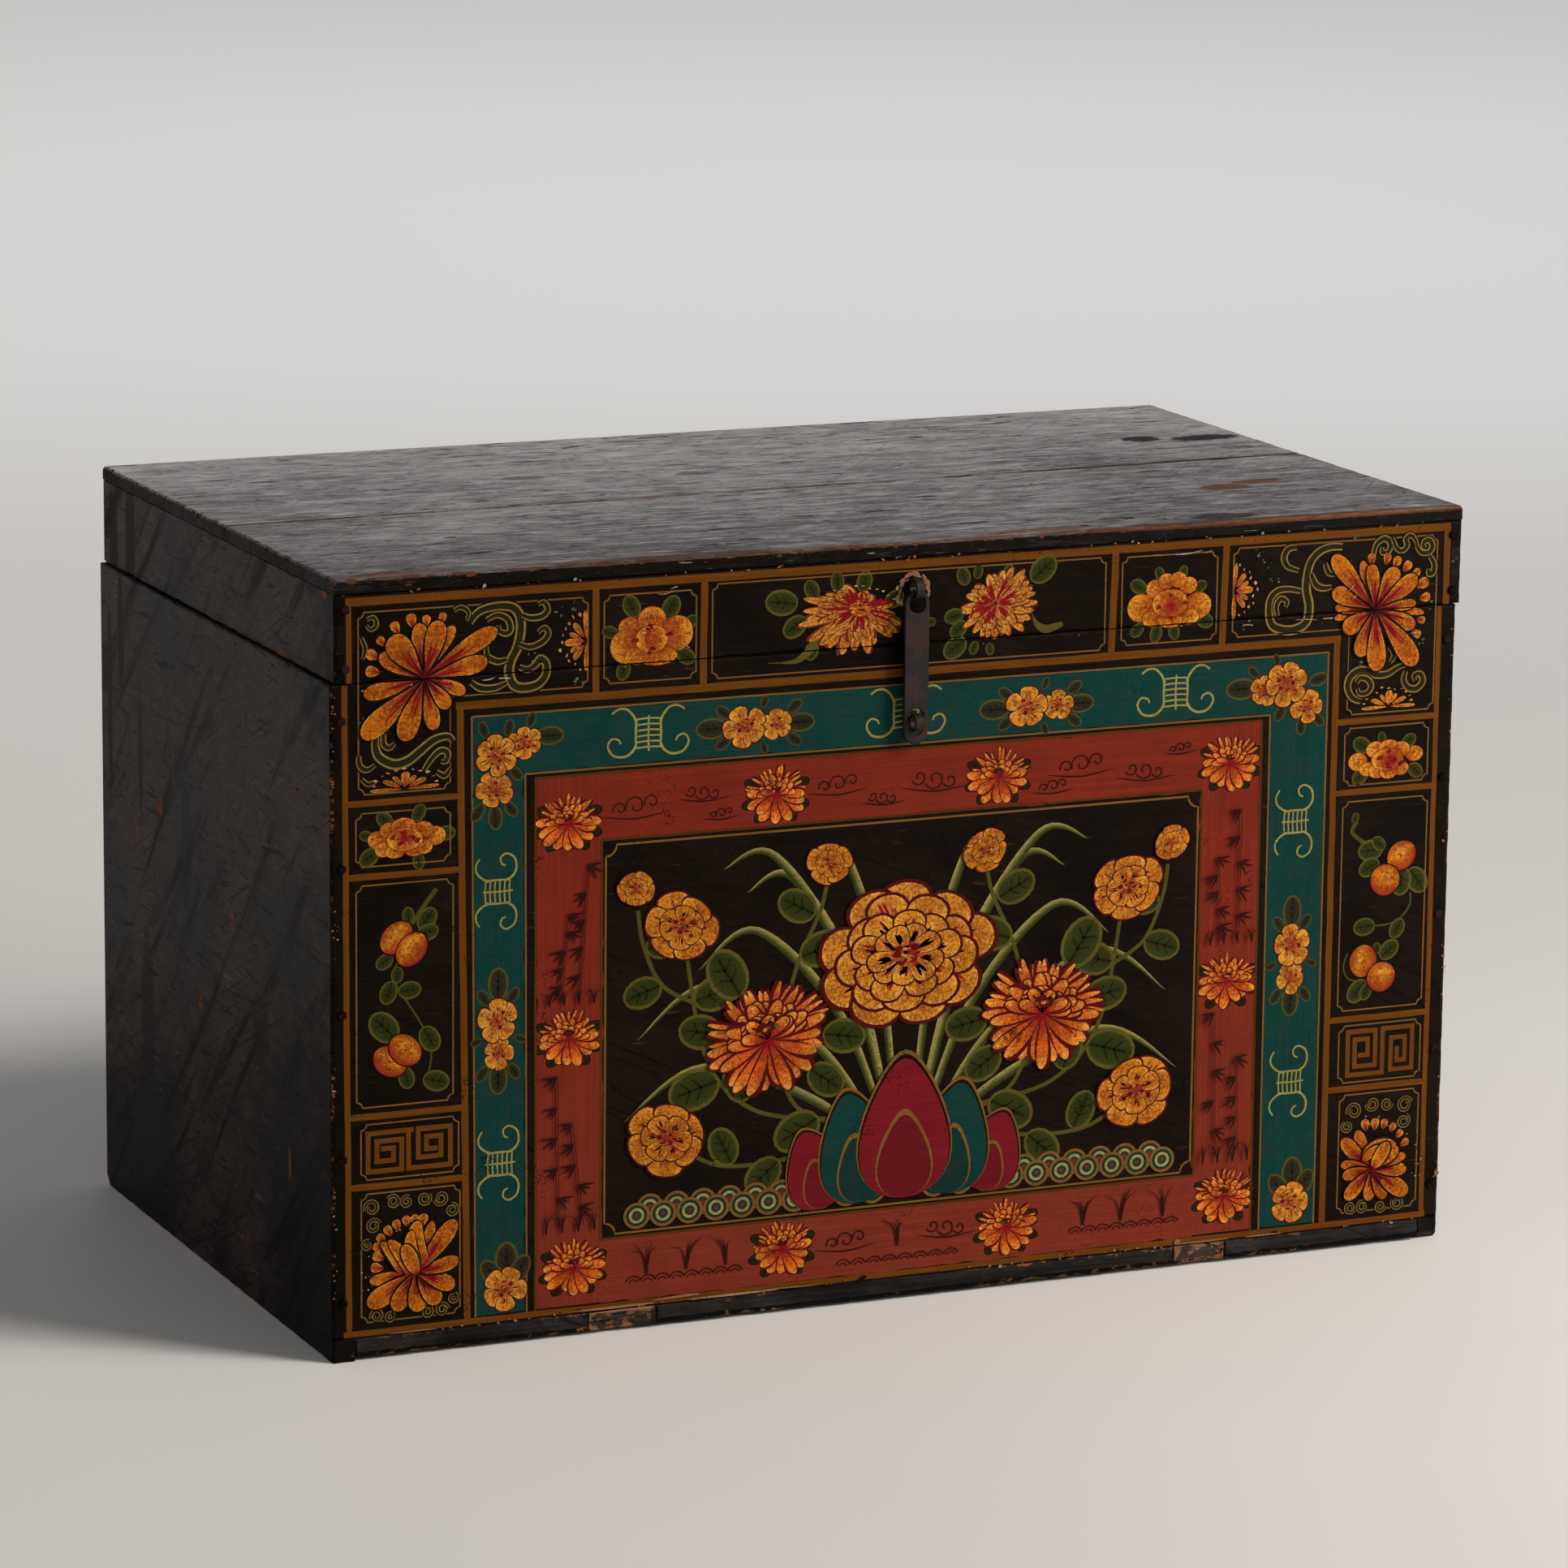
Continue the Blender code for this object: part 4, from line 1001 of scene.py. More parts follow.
class TRUNK_OT_boards(TrunkOperator, bpy.types.Operator):
    """Replace the plain boards by worn ones"""

    bl_idname = "trunk.boards"
    bl_label = "Worn boards"

    def execute(self, context):
        sizes = context.scene.trunk_sizes
        case = joint_box(CASE_BOARDS)
        lid = joint_box(LID_RAILS + LID_TOPS)
        black = Finish(
            linear(11, 7, 4), linear(28, 19, 12), linear(150, 96, 52),
            worn=0.6, gloss=0.4, shine=0.03, streak=0.35, cloud=1.0, mottle=0.3, rise=0.0, nick=0.2,
        )
        brown = Finish(
            linear(4, 2, 2), linear(64, 49, 45), linear(156, 90, 54),
            worn=1.0, gloss=0.46, shine=0.065, streak=0.2, cloud=2.2, mottle=1.1, rise=0.9, nick=1.0,
        )
        # Grey of the lid's top: partly dust on worn lacquer and partly painted sheen, its light colour
        # raised to stand for the reflection on the top
        dust_and_sheen_grey = Finish(
            linear(70, 65, 65), linear(196, 191, 191), linear(120, 70, 42),
            worn=1.1, gloss=0.5, shine=0.05, streak=0.3, cloud=0.45, mottle=1.1, rise=0.5, nick=1.2,
        )
        base = Finish(
            linear(16, 14, 13), linear(54, 50, 48), linear(132, 88, 54),
            worn=1.1, gloss=0.5, shine=0.05, streak=0.5, cloud=0.9, mottle=0.6, rise=0.0, nick=0.6,
        )
        block = Finish(
            linear(18, 15, 13), linear(66, 56, 48), linear(150, 102, 66),
            worn=3.0, gloss=0.5, shine=0.05, streak=0.7, cloud=0.9, mottle=0.6, rise=0.0, nick=0.6,
        )
        stains = (
            ((0.347, 0.103), (0.016, 0.013), 0.92, False), ((0.396, 0.094), (0.03, 0.013), 0.92, False),
            ((-0.158, 0.097), (0.018, 0.008), 0.5, False), ((-0.033, 0.074), (0.016, 0.008), 0.5, False),
            ((0.25, -0.226), (0.026, 0.012), 0.7, False), ((0.36, 0.0), (0.008, 0.006), 0.7, False),
            ((0.4, 0.045), (0.014, 0.01), 0.5, False), ((-0.3, 0.15), (0.03, 0.006), 0.4, False),
            ((0.306, -0.114), (0.022, 0.011), 0.95, True), ((0.34, -0.1), (0.022, 0.008), 0.95, True),
            ((0.1, -0.232), (0.05, 0.006), 0.7, True), ((-0.2, -0.238), (0.09, 0.006), 0.6, True),
            ((-0.38, -0.236), (0.04, 0.01), 0.7, True), ((-0.12, -0.012), (0.06, 0.006), 0.45, True),
            ((0.02, -0.006), (0.05, 0.004), 0.4, True),
            ((0.29, -0.2455, 0.545), (0.2, 0.007, 0.0035), 0.9, True),
            ((-0.1, -0.2455, 0.545), (0.24, 0.004, 0.002), 0.6, True),
        )

        def on_left(rows):
            place, depth = lid[0].x, 0.02
            return [((place, y, z), (depth, wide, tall), *rest) for y, z, wide, tall, *rest in rows]

        smears = on_left((
            (0.19, 0.5, 0.012, 0.05, 0.8, False), (0.232, 0.49, 0.014, 0.04, 0.8, False),
            (-0.232, 0.533, 0.012, 0.004, 0.9, True), (-0.14, 0.475, 0.012, 0.003, 0.8, True),
        ))
        scars = on_left((
            (0.205, 0.43, 0.008, 0.05, 0.7, False), (0.232, 0.37, 0.006, 0.08, 0.7, False),
            (0.162, 0.35, 0.006, 0.05, 0.6, False), (0.087, 0.37, 0.0009, 0.05, 0.8, True),
            (0.118, 0.318, 0.007, 0.008, 0.7, True), (0.03, 0.19, 0.004, 0.008, 0.8, True),
            (0.06, 0.3, 0.012, 0.05, 0.5, False), (-0.1, 0.2, 0.02, 0.03, 0.4, False),
            (0.15, 0.16, 0.016, 0.06, 0.5, False), (-0.16, 0.12, 0.003, 0.012, 0.8, True),
            (-0.04, 0.27, 0.004, 0.003, 0.8, True), (0.17, 0.29, 0.002, 0.01, 0.8, True),
        ))
        # Painted shadow: a dark band along the lower front edge of the bottom boards, standing for the
        # shade in the gap under the trunk
        foot = ((0, case[0].y, 0.0025), (9, 0.05, 0.004), 0.95, False),
        groups = (
            ("front", CASE_BOARDS[:2], "case", 0, black, "painted_front"),
            ("base_left", BASE_BLOCKS[:1], "case", 0, block, "lacquered_wood"),
            ("base_right", BASE_BLOCKS[1:], "case", 0, block, "lacquered_wood"),
            ("back", CASE_BOARDS[2:4], "case", 0, brown, "lacquered_wood"),
            ("side", CASE_BOARDS[4:], "case", 1, brown, "lacquered_wood"),
            ("floor", BOTTOM_BOARDS, "case", 0, base, "bare_wood"),
            ("lid_front", LID_RAILS[:1], "lid", 0, black, "painted_front"),
            ("lid_back", LID_RAILS[1:2], "lid", 0, brown, "lacquered_wood"),
            ("lid_side", LID_RAILS[2:], "lid", 1, brown, "lacquered_wood"),
            ("lid_top", LID_TOPS, "lid", 0, dust_and_sheen_grey, "worn_top"),
        )
        made = {}
        for label, nodes, body, axis, look, slot in groups:
            box = case if body == "case" else lid
            if label.startswith(("base", "floor")):
                box = joint_box(nodes)
            marks = {"lid_top": stains, "side": scars, "lid_side": smears, "floor": foot}.get(label, ())
            rim = black if label == "lid_top" else None
            joint = TOP_JOINT if label == "lid_top" else None
            front = black if label in ("side", "lid_side") else None
            made[label] = board_material(f"{label}_wood", axis, box, look, marks, rim, joint, front)
            for node in nodes:
                edge = sizes.top_edge if label == "lid_top" else sizes.edge
                mesh = worn_board(node, box, edge, sizes.ragged, label == "lid_top")
                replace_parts(piece_from(f"worn_{node}", mesh, made[label], body), node)
        for label, axis, side, material, slot in (
            ("front", 1, 0, "front", "painted_front"), ("back", 1, 1, "back", "lacquered_wood"),
            ("left", 0, 0, "side", "lacquered_wood"), ("right", 0, 1, "side", "lacquered_wood"),
        ):
            self.skin(f"lacquer_{label}", case, axis, side, made[material], slot)
        return {"FINISHED"}

    def skin(self, name, box, axis, side, material, slot):
        """Lay a coat of lacquer over the joints of one face of the case."""
        mesh = bmesh.new()
        made = bmesh.ops.create_grid(mesh, x_segments=1, y_segments=1, size=1)
        inset, base, lift = 0.0028, 0.0188, 0.00002
        low, high = box[0] + Vector((inset, inset, base)), box[1] - Vector((inset, inset, inset))
        way = 1 if side else -1
        for vert in made["verts"]:
            across, rise = (vert.co.x + 1) / 2, (vert.co.y + 1) / 2
            spot = Vector((0, 0, low.z + (high.z - low.z) * rise))
            spot[axis] = box[side][axis] + way * lift
            spot[1 - axis] = low[1 - axis] + (high[1 - axis] - low[1 - axis]) * across
            vert.co = spot
        mesh.normal_update()
        for face in mesh.faces:
            if face.normal[axis] * way < 0:
                face.normal_flip()
        piece_from(name, mesh, material, "case")


class TRUNK_OT_ironwork(TrunkOperator, bpy.types.Operator):
    """Give the nails, hinges and hasp their forged iron"""

    bl_idname = "trunk.ironwork"
    bl_label = "Forged iron"

    def execute(self, context):
        iron = iron_material("forged_iron")
        sunk = iron_material("lacquered_iron", (13, 9, 7), 0.03)
        for name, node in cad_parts.items():
            if name.startswith(("hasp", "hinge", "front_nail", "lid_nail")):
                node.data.materials.clear()
                node.data.materials.append(sunk if "_nail_" in name and name[0] in "fl" else iron)
        return {"FINISHED"}


class TRUNK_OT_bands(TrunkOperator, bpy.types.Operator):
    """Paint the coloured bands, gold stripes and fine lines"""

    bl_idname = "trunk.bands"
    bl_label = "Bands and stripes"

    def execute(self, context):
        ink = context.scene.trunk_paints
        Film.material = film_material("aged_paint", ink.dark)
        film = Film().at(0, 0, coats=0)
        film.bar(122.5, 22, 120.5, 445, 37, ink.teal)
        film.bar(734.5, 22, 734, 445, 45, ink.teal)
        film.bar(138, 424, 712, 424, 41.5, ink.teal)
        film.hang("teal_band")
        film = Film().at(0, 0, coats=0)
        faded = blend(ink.red, linear(140, 80, 60), 0.16)
        fall = lambda t, v: blend(faded, ink.red, t * 1.4)
        film.bar(174, 22, 173, 399, 49, fall)
        film.bar(680.5, 22, 680.5, 399, 47, fall)
        film.bar(196, 375.5, 658, 375, 47, ink.red)
        film.bar(197, 45, 658, 45, 46, faded)
        film.hang("red_band")
        film = Film().at(0, 0, coats=4)
        for points in (
            [(104.5, 22), (101.5, 445), (757, 445), (757, 22)],
            [(142.5, 22), (140.5, 402.5), (711, 402.5), (712, 22)],
        ):
            for start in range(3):
                film.line(points[start:start + 2], 1.3, ink.line)
        brown = blend(ink.gold, ink.dark, 0.4)
        for x, z, to_x, to_z in (
            (149, 22, 148, 399), (147.5, 399, 705, 399), (704.5, 399, 705, 22), (197, 68, 197, 352),
            (197, 352, 658, 352), (658, 352, 658, 68), (197, 68, 658, 68),
        ):
            film.bar(x, z, to_x, to_z, 1.8, brown)
        film.notched([(200, 348), (655, 348), (655, 71), (200, 71)], 1.5, 8)
        film.hang("band_lines")
        film = Film()
        stripes = [
            (10, 472.9, 12, 18, 4.2), (13.4, 474, 13.2, 532, 3.8), (846.2, 472.9, 846, 18, 4),
            (851, 474, 851, 532, 5), (11, 529.5, 853, 530.5, 5.6), (8, 19.5, 849, 19.5, 4.2),
            (90, 453, 766.5, 454, 5.6), (93, 455, 98.5, 20, 5), (763.5, 456, 764, 20, 5),
            (12, 391, 94, 391, 4.5), (12, 340, 95, 340, 4.5), (12, 172.5, 96, 172.5, 4.6),
            (13, 123, 97, 123, 4.6), (764, 393, 846, 393, 4.5), (764, 341, 846, 341, 4.5),
            (764, 172.5, 846, 172.5, 4.6), (764, 120.5, 846, 120.5, 4.6), (192, 452, 192, 530, 5),
            (271.5, 452, 272, 530, 5.2), (583.5, 453, 585.5, 531, 5.4), (671, 453, 673, 531, 5.2),
        ]
        for x, z, to_x, to_z, width in stripes:
            film.coats = 2
            film.bar(x, z, to_x, to_z, width + 2.6, ink.dark)
            film.coats = 8 if x == to_x or abs(to_z - z) > 30 else 12
            film.bar(x, z, to_x, to_z, width, ink.gold)
        film.hang("gold_stripes")
        film = Film()
        film.notched([(20, 522), (186, 522), (186, 460), (86, 460), (86, 397), (20, 397)], 1.1)
        film.notched([(679, 525), (843, 525), (843, 398), (773, 398), (773, 461), (679, 461)], 1.1)
        for x0, z0, x1, z1 in (
            (198, 461, 266, 522), (278, 459, 578, 525), (591, 461, 666, 524), (18, 347, 86, 384),
            (18, 179, 88, 334), (21, 128, 92, 167), (21, 27, 93, 118), (772, 346, 840, 388),
            (772, 179, 841, 334), (774, 125, 841, 167.5), (776, 27, 841, 115.6),
        ):
            film.field(x0, z0, x1, z1)
        film.hang("field_lines")
        return {"FINISHED"}


class TRUNK_OT_lid_flowers(TrunkOperator, bpy.types.Operator):
    """Paint the row of flowers that crosses the lid's seam"""

    bl_idname = "trunk.lid_flowers"
    bl_label = "Flowers along the lid"

    def execute(self, context):
        ink = context.scene.trunk_paints
        self.corner(
            "left", 3, (67, 474),
            (
                (8, [(100, 510), (105, 516), (112, 519), (122, 520), (131, 518.5), (136, 512.7),
                     (137, 502.7), (134.5, 491), (129.5, 481), (128.7, 472.7), (132, 465), (139, 462.5),
                     (149, 464), (155, 470), (155.5, 478), (151, 482), (148, 478), (142, 475), (136, 477)]),
                (5.5, [(138, 513), (144, 510.5), (152, 511), (156.5, 515), (154, 520.5), (149.5, 519.5)]),
                (5.5, [(136, 493), (144, 490.5), (153, 493.5), (157, 499), (154, 503), (149.5, 500)]),
                (5.5, [(112, 511), (120, 514), (127.5, 510.5), (129.5, 503.5), (126, 501), (121.5, 503),
                       (121, 507)]),
                (5.5, [(127, 483), (120, 482), (113, 486), (112, 493)]),
                (6, [(101, 469), (108, 464.5), (118, 464), (127, 467)]),
                (4, [(88.7, 519), (93.7, 521), (99, 517.5), (98, 512)]),
                (4, [(22, 505), (25, 497), (23, 490)]),
                (4, [(26, 517), (31, 518), (33, 513), (29, 510), (26, 513)]),
                (8, [(33, 440), (32, 430), (35, 422), (45, 416.5), (55, 418), (64, 424), (74, 431),
                     (84, 433), (88, 429)]),
                (5, [(38, 438), (38, 431), (42, 428), (46, 431)]),
                (5.5, [(67, 411), (73, 419), (79, 423.5), (84, 421.5), (83, 416), (79, 416)]),
                (5, [(20, 424), (21, 417), (26, 414), (32, 417)]),
                (4, [(22, 408), (27, 404), (33, 406)]),
                (5, [(76, 409), (82, 406), (86, 411)]),
            ),
            [(87.8, 509, 4.5), (118.7, 506, 6.4), (112.8, 482.7, 6.2), (97, 463.5, 4.4), (34.5, 491, 5.6),
             (62, 512, 5.6), (78.7, 512.7, 7), (42.8, 504, 8.6), (23.7, 465, 5.6), (22.8, 436, 8),
             (51, 432.7, 7.6), (74.5, 438.5, 5.4), (85.3, 453.5, 5)],
            [(31, 481, 4.6), (31, 492, 4.4), (37, 501, 3.6), (47, 509.5, 4), (58.3, 513.5, 4.4),
             (68.7, 512.7, 3.6), (80, 514, 3.4)],
            [((185, 492, 90, 21, 20, 10), 5, 1.0), ((53, 399, 0, 25, 15, 40), 6, 1.0)],
            ((176, 517), (180, 464), (24, 446), (80, 443), (163, 512), (108, 500), (145, 483)),
        )
        self.corner(
            "right", 4, (793, 474),
            (
                (8, [(766, 521), (757, 521.5), (748, 519), (741, 512.5), (738, 503), (737.5, 491),
                     (740, 480), (738.5, 469), (731, 464), (721, 463.5), (711, 467.5), (708, 477),
                     (709, 487), (715, 492.5), (724, 493), (733, 491)]),
                (5, [(715, 474), (713.5, 481), (717, 486.5), (722, 484), (721, 480)]),
                (6, [(729, 523), (722, 522), (719, 516), (722, 509.5), (731, 506)]),
                (6, [(741, 503), (745, 495), (751, 492), (758, 492.5)]),
                (5, [(752, 510), (755, 503), (761, 501)]),
                (5.5, [(791, 513), (793, 521), (799.7, 525), (804.5, 521), (803, 515.5), (798, 515),
                       (798, 519)]),
                (5, [(806, 525), (810, 517), (815, 515.5), (818, 519), (817, 523.5), (821, 526),
                     (825, 522), (826, 518)]),
                (5.5, [(826, 518), (830, 513), (836.5, 513), (838.7, 517.5), (836, 521.5), (832, 520.5),
                       (831.5, 517), (834, 516)]),
                (5.5, [(837, 510), (840.5, 504), (840, 498), (836.5, 497), (836, 501)]),
                (7, [(784, 407.5), (777, 410.5), (773, 418), (774.5, 425), (780.5, 429.5), (788, 429.5),
                     (796, 426), (805, 426), (813, 430), (820, 432)]),
                (5.5, [(780, 421), (783, 424.5), (789, 423), (792, 418), (789, 413.5), (783, 413),
                       (781, 417)]),
                (6, [(820, 427), (818.5, 421), (822, 415), (829, 413.7), (834, 418.5), (832, 424),
                     (827, 423.5), (828, 419.3)]),
                (5, [(806, 446), (810, 440), (807, 434)]),
            ),
            [(781, 509.5, 3.6), (760.5, 470, 2.6), (761, 476, 3.4), (759, 490, 6.2), (758, 515, 6.6),
             (790.5, 507, 5), (810.5, 502.7, 6.6), (827, 495, 6.4), (833, 471, 2.6), (826, 476, 3.8),
             (826, 460, 5.4), (768, 460, 6.4), (779.7, 441, 6.4), (795.5, 429, 7.4), (829, 433, 7.6)],
            [(789.7, 510, 3.8), (802, 509.5, 3.8), (809.7, 506.5, 4), (818, 503, 4), (825.5, 498, 3.4),
             (830.5, 490, 4.8), (833, 480, 4), (830.5, 464, 3.2), (827, 454.5, 3.6)],
            [((679.5, 494.5, -90, 20, 19, 10), 7, 1.0), ((806.5, 402, 0, 22, 15, 44), 8, 0.15)],
            ((700, 520), (705, 512), (712, 500), (690, 468), (840, 480), (834, 446), (786, 436),
             (778, 525)),
        )
        film = Film()
        black_leaves(film, [(222, 506, 118, 17), (243, 503, 62, 18), (208, 495, 165, 12),
                            (257, 496, 40, 12), (214, 476, 255, 14), (252, 480, 330, 15)])
        lobes = [(217, 499, 8.5, 7), (233, 503, 10.5, 9.5), (252, 493, 11.5, 12), (215, 486, 12.5, 12),
                 (237, 478, 15, 6.5), (222, 479, 9, 6), (233, 490, 12, 9.5)]
        cluster(film, lobes, [(221, 489), (232, 499), (246, 492), (233, 482)], 11, 0.4, (233, 490.5, 4.6))
        film.at(0, 0)
        black_leaves(film, [(610, 499, 150, 14), (622, 506, 110, 10), (637, 506, 70, 10),
                            (648, 497, 30, 11), (608, 475, 220, 12), (620, 474, 255, 13),
                            (631, 474, 285, 12), (650, 479, 330, 15)])
        lobes = [(617, 500, 7, 6.5), (643, 501, 7, 6), (626, 505, 6.5, 5.5), (635, 505.5, 6.5, 5.5),
                 (606, 487, 10.5, 10), (651, 486, 10.5, 9.5), (615, 478.5, 8, 5.5), (644, 478.5, 8, 5.5),
                 (629, 477, 10, 5.5), (629, 489, 14, 10)]
        cluster(film, lobes, [(619, 486), (629, 495), (641, 488), (629, 479)], 12, 0.32)
        film.hang("lid_small_flowers")
        film = Film()
        black_leaves(film, [(342, 507, 172, 25), (348, 497, 215, 20), (356, 510, 120, 15),
                            (372, 514, 95, 14), (390, 512, 75, 16), (408, 502, 30, 16),
                            (410, 492, 330, 12), (355, 480, 250, 14)])
        for line in (
            [(360, 484), (351, 474), (340, 467), (320, 467)],
            [(545, 480), (532, 477), (524, 482), (520, 492)],
        ):
            half = lambda t: 2.6 * math.sin(math.pi * min(1, 0.15 + t)) + 0.3
            film.ribbon(curve(line), half, ink.leaf_rim)
        film.at(381, 494, -8, 41, 25, film.coats)
        aster(film, 21, (0.16, 0.3), 23, True)
        film.at(0, 0)
        black_leaves(film, [(470, 512, 110, 14), (478, 516, 80, 10), (502, 514, 85, 11),
                            (520, 512, 40, 24), (468, 492, 190, 15), (470, 486, 220, 15),
                            (447, 488, 180, 9), (478, 472, 250, 10), (488, 470, 280, 9),
                            (470, 474, 215, 20)])
        film.at(497, 496, 24, 32, 25, film.coats)
        aster(film, 22, (-0.1, 0.15))
        film.hang("lid_centre_flowers")
        return {"FINISHED"}

    def corner(self, name, seed, heart, scrolls, tips, fringe, blooms, spots):
        """Paint one upper corner: scrolls, a wide open flower, two half flowers and pale touches."""
        film = Film()
        for width, points in scrolls:
            film.scroll(curve(points, 8), width)
        film.coats = CORNER_COAT
        lotus(film, *heart, tips, fringe, seed)
        for place, bloom, warm in blooms:
            film.at(*place)
            half_bloom(film, bloom, warm)
        self.dots(film, spots, seed + 6)
        film.hang(f"corner_{name}")

    def dots(self, film, spots, seed):
        """Scatter small pale-green touches round some points."""
        luck = random.Random(seed)
        film.at(0, 0, coats=DOT_COAT)
        for x, z in spots:
            for k in range(4):
                tint = blend(linear(96, 122, 92), film.ink.scroll, luck.random() * 0.7)
                spot = x + luck.uniform(-4, 4), z + luck.uniform(-4, 4)
                film.dab(*spot, luck.uniform(0.5, 1.4), tint, k, DOT_COAT)


class TRUNK_OT_side_columns(TrunkOperator, bpy.types.Operator):
    """Paint the flower, fruit, fret and lotus fields of both side columns"""

    bl_idname = "trunk.side_columns"
    bl_label = "Side columns"

    def execute(self, context):
        self.column(
            "left",
            [(33, 365, 6.5, 6), (75, 365, 7.5, 6.5), (38, 358, 6.5, 5), (46, 356, 7, 4.5),
             (60, 356.5, 7, 4.5), (67, 358, 6, 5), (42, 371, 7, 5.5), (66, 370, 7.5, 5.5),
             (52, 373, 9, 6), (53, 364, 13, 8)],
            [(45, 365), (52, 369), (58, 365), (61, 362), (50, 361)],
            [(44, 374, 140, 14), (30, 367, 165, 10), (34, 358, 215, 16), (60, 376, 60, 13),
             (76, 366, 0, 14), (62, 354, 280, 12)],
            [(0.7, [(52, 285), (44, 270), (50, 258), (66, 232), (72, 214), (70, 198)]),
             (1.6, [(58, 305), (68, 318), (76, 328)])],
            [(64, 300, 55, 18), (62, 296, 15, 16), (56, 305, 95, 12), (44, 284, 215, 14),
             (48, 276, 265, 12), (44, 266, 250, 17), (48, 258, 5, 17), (47, 225, 135, 26),
             (42, 228, 100, 10), (66, 232, 300, 20), (52, 205, 285, 16), (66, 196, 345, 20)],
            [(47, 296, 40, 13, 10), (58, 287, 48, 13, 10), (42, 210, -35, 13, 10), (53, 217, -40, 13, 10)],
        )
        self.column(
            "right",
            [(783, 363, 7.5, 6.5), (829, 366, 7, 5.5), (791, 357, 6.5, 5), (799, 355, 7, 5),
             (808, 354, 7, 5), (818, 356, 6.5, 5), (797, 371, 7.5, 6), (818, 370, 7, 5.5),
             (808, 372, 8, 5.5), (807, 363, 13, 8)],
            [(808, 369), (814, 363), (808, 358), (819, 360), (801, 364)],
            [(793, 371, 150, 16), (803, 375, 100, 9), (819, 372, 35, 13), (791, 357, 220, 15),
             (825, 358, 320, 14)],
            [(1.5, [(784, 319), (780, 312), (787, 305), (797, 299)]),
             (0.7, [(829, 263), (829, 254), (822, 245), (812, 241), (800, 240.5), (790, 241)]),
             (0.6, [(779, 222), (776, 212), (780, 203), (792, 199)])],
            [(806, 298, 186, 21), (807, 297, 138, 13), (803, 288, 205, 18), (822, 283, 266, 22),
             (828, 281, 305, 22), (801, 241, 184, 18), (823, 244, 240, 16), (806, 216, 40, 18),
             (803, 219, 90, 9), (795, 200, 225, 20), (797, 198, 250, 13), (781, 318, 70, 8)],
            [(821, 291, 30, 12, 10.5), (808, 274, -20, 12, 11.5), (792, 215, 80, 12, 11),
             (807, 202, 10, 11.5, 11)],
        )
        self.foot(
            "left",
            ([(57.4, 160.5), (26, 160.5), (26, 133.5), (50.5, 133.5), (50.5, 154.5), (32.5, 154.5),
              (32.5, 140.5), (44.5, 140.5), (44.5, 149), (37, 149)],
             [(55.5, 160.5), (55.5, 133.5), (86, 133.5), (86, 160.5), (62.5, 160.5), (62.5, 140.5),
              (79, 140.5), (79, 154.5), (68.5, 154.5), (68.5, 146), (75, 146)]),
            ((28.5, 108, 5.5, 200), (30, 95, 5, 20), (44, 111, 4.6, 150), (54, 110, 4, 60),
             (67, 111, 4.6, 40), (79, 110, 5, 190), (87, 101, 4.4, 90), (25, 82, 3.4, 60),
             (32, 31, 4.6, 200), (42, 29, 3.4, 20), (69, 30, 4, 120), (80, 30.5, 4.6, 0),
             (88, 38, 3.4, 70)),
            (61, 59), 1,
            [(27, 56, 4.6), (26, 38, 8), (44, 34, 7), (62, 31, 7.5), (77, 35, 7), (89, 47, 6.4),
             (92, 64, 5.6), (74, 94, 4.2), (90, 93, 7)],
            [(33, 65, 4.2), (34, 72.5, 4), (34, 79, 4), (36, 85, 3.6), (41, 90, 3.6), (47, 93.5, 3.6),
             (54, 95.5, 3.6), (60, 96, 3.4), (66, 95, 4)],
            [(69, 66, 52, 91, 6.5, -44), (64, 64, 50, 86, 4.6, -36), (49, 60, 39, 85, 4, 18),
             (55, 58, 45, 86, 4.4, 20), (61, 58, 52, 80, 5.4, 4)],
        )
        self.foot(
            "right",
            ([(810, 162.5), (810, 130.3), (781.5, 130.3), (781.5, 162.5), (804, 162.5), (804, 136.5),
              (787.2, 136.5), (787.2, 156.5), (797.8, 156.5), (797.8, 144.6), (791.5, 144.6)],
             [(810, 163), (834.3, 163), (834.3, 131.8), (817, 131.8), (817, 155.6), (828.2, 155.6),
              (828.2, 138.4), (822, 138.4), (822, 147)]),
            ((788, 103, 6, 200), (803, 107, 5, 180), (815, 106, 4.2, 0), (830, 104, 6, 20),
             (829, 92, 5, 60), (782.5, 92, 4.2, 120), (787, 30.5, 4.4, 0), (797, 30, 4.6, 40),
             (812, 29, 4, 0), (826, 30.5, 5, 150)),
            (804, 58), -1,
            [(790.6, 88, 5), (778, 82, 6), (778.5, 65, 4), (780, 55, 4.8), (782.5, 37.5, 6),
             (802, 34.5, 5), (814, 34.5, 5), (833, 36, 7), (832, 55, 5.4), (831, 67, 4), (825, 72, 5.6)],
            [(797.7, 91, 4), (805.6, 91, 4), (813, 90.6, 3.4), (820, 87.5, 3.2), (825.6, 82, 3.2),
             (830, 75, 3.4)],
            [(796, 66, 817, 85, 4.2, -50), (796, 64, 814, 79, 3.8, -46), (804, 59, 817, 77, 5.4, 4)],
        )
        return {"FINISHED"}

    def column(self, name, lobes, spots, behind, stems, leaves, fruits):
        """Paint the flower field and the fruit field of one column."""
        film = Film()
        black_leaves(film, behind)
        cluster(film, lobes, spots, len(behind), 0.4)
        film.coats = 8
        for half, points in stems:
            film.ribbon(curve(points, 8), half, blend(film.ink.leaf_rim, film.ink.leaf, 0.5))
        black_leaves(film, leaves)
        coats = film.coats
        for x, z, turn, wide, tall in fruits:
            coats = fruit(film, x, z, turn, wide, tall, coats)
        film.at(0, 0)
        film.hang(f"column_{name}_fruit")

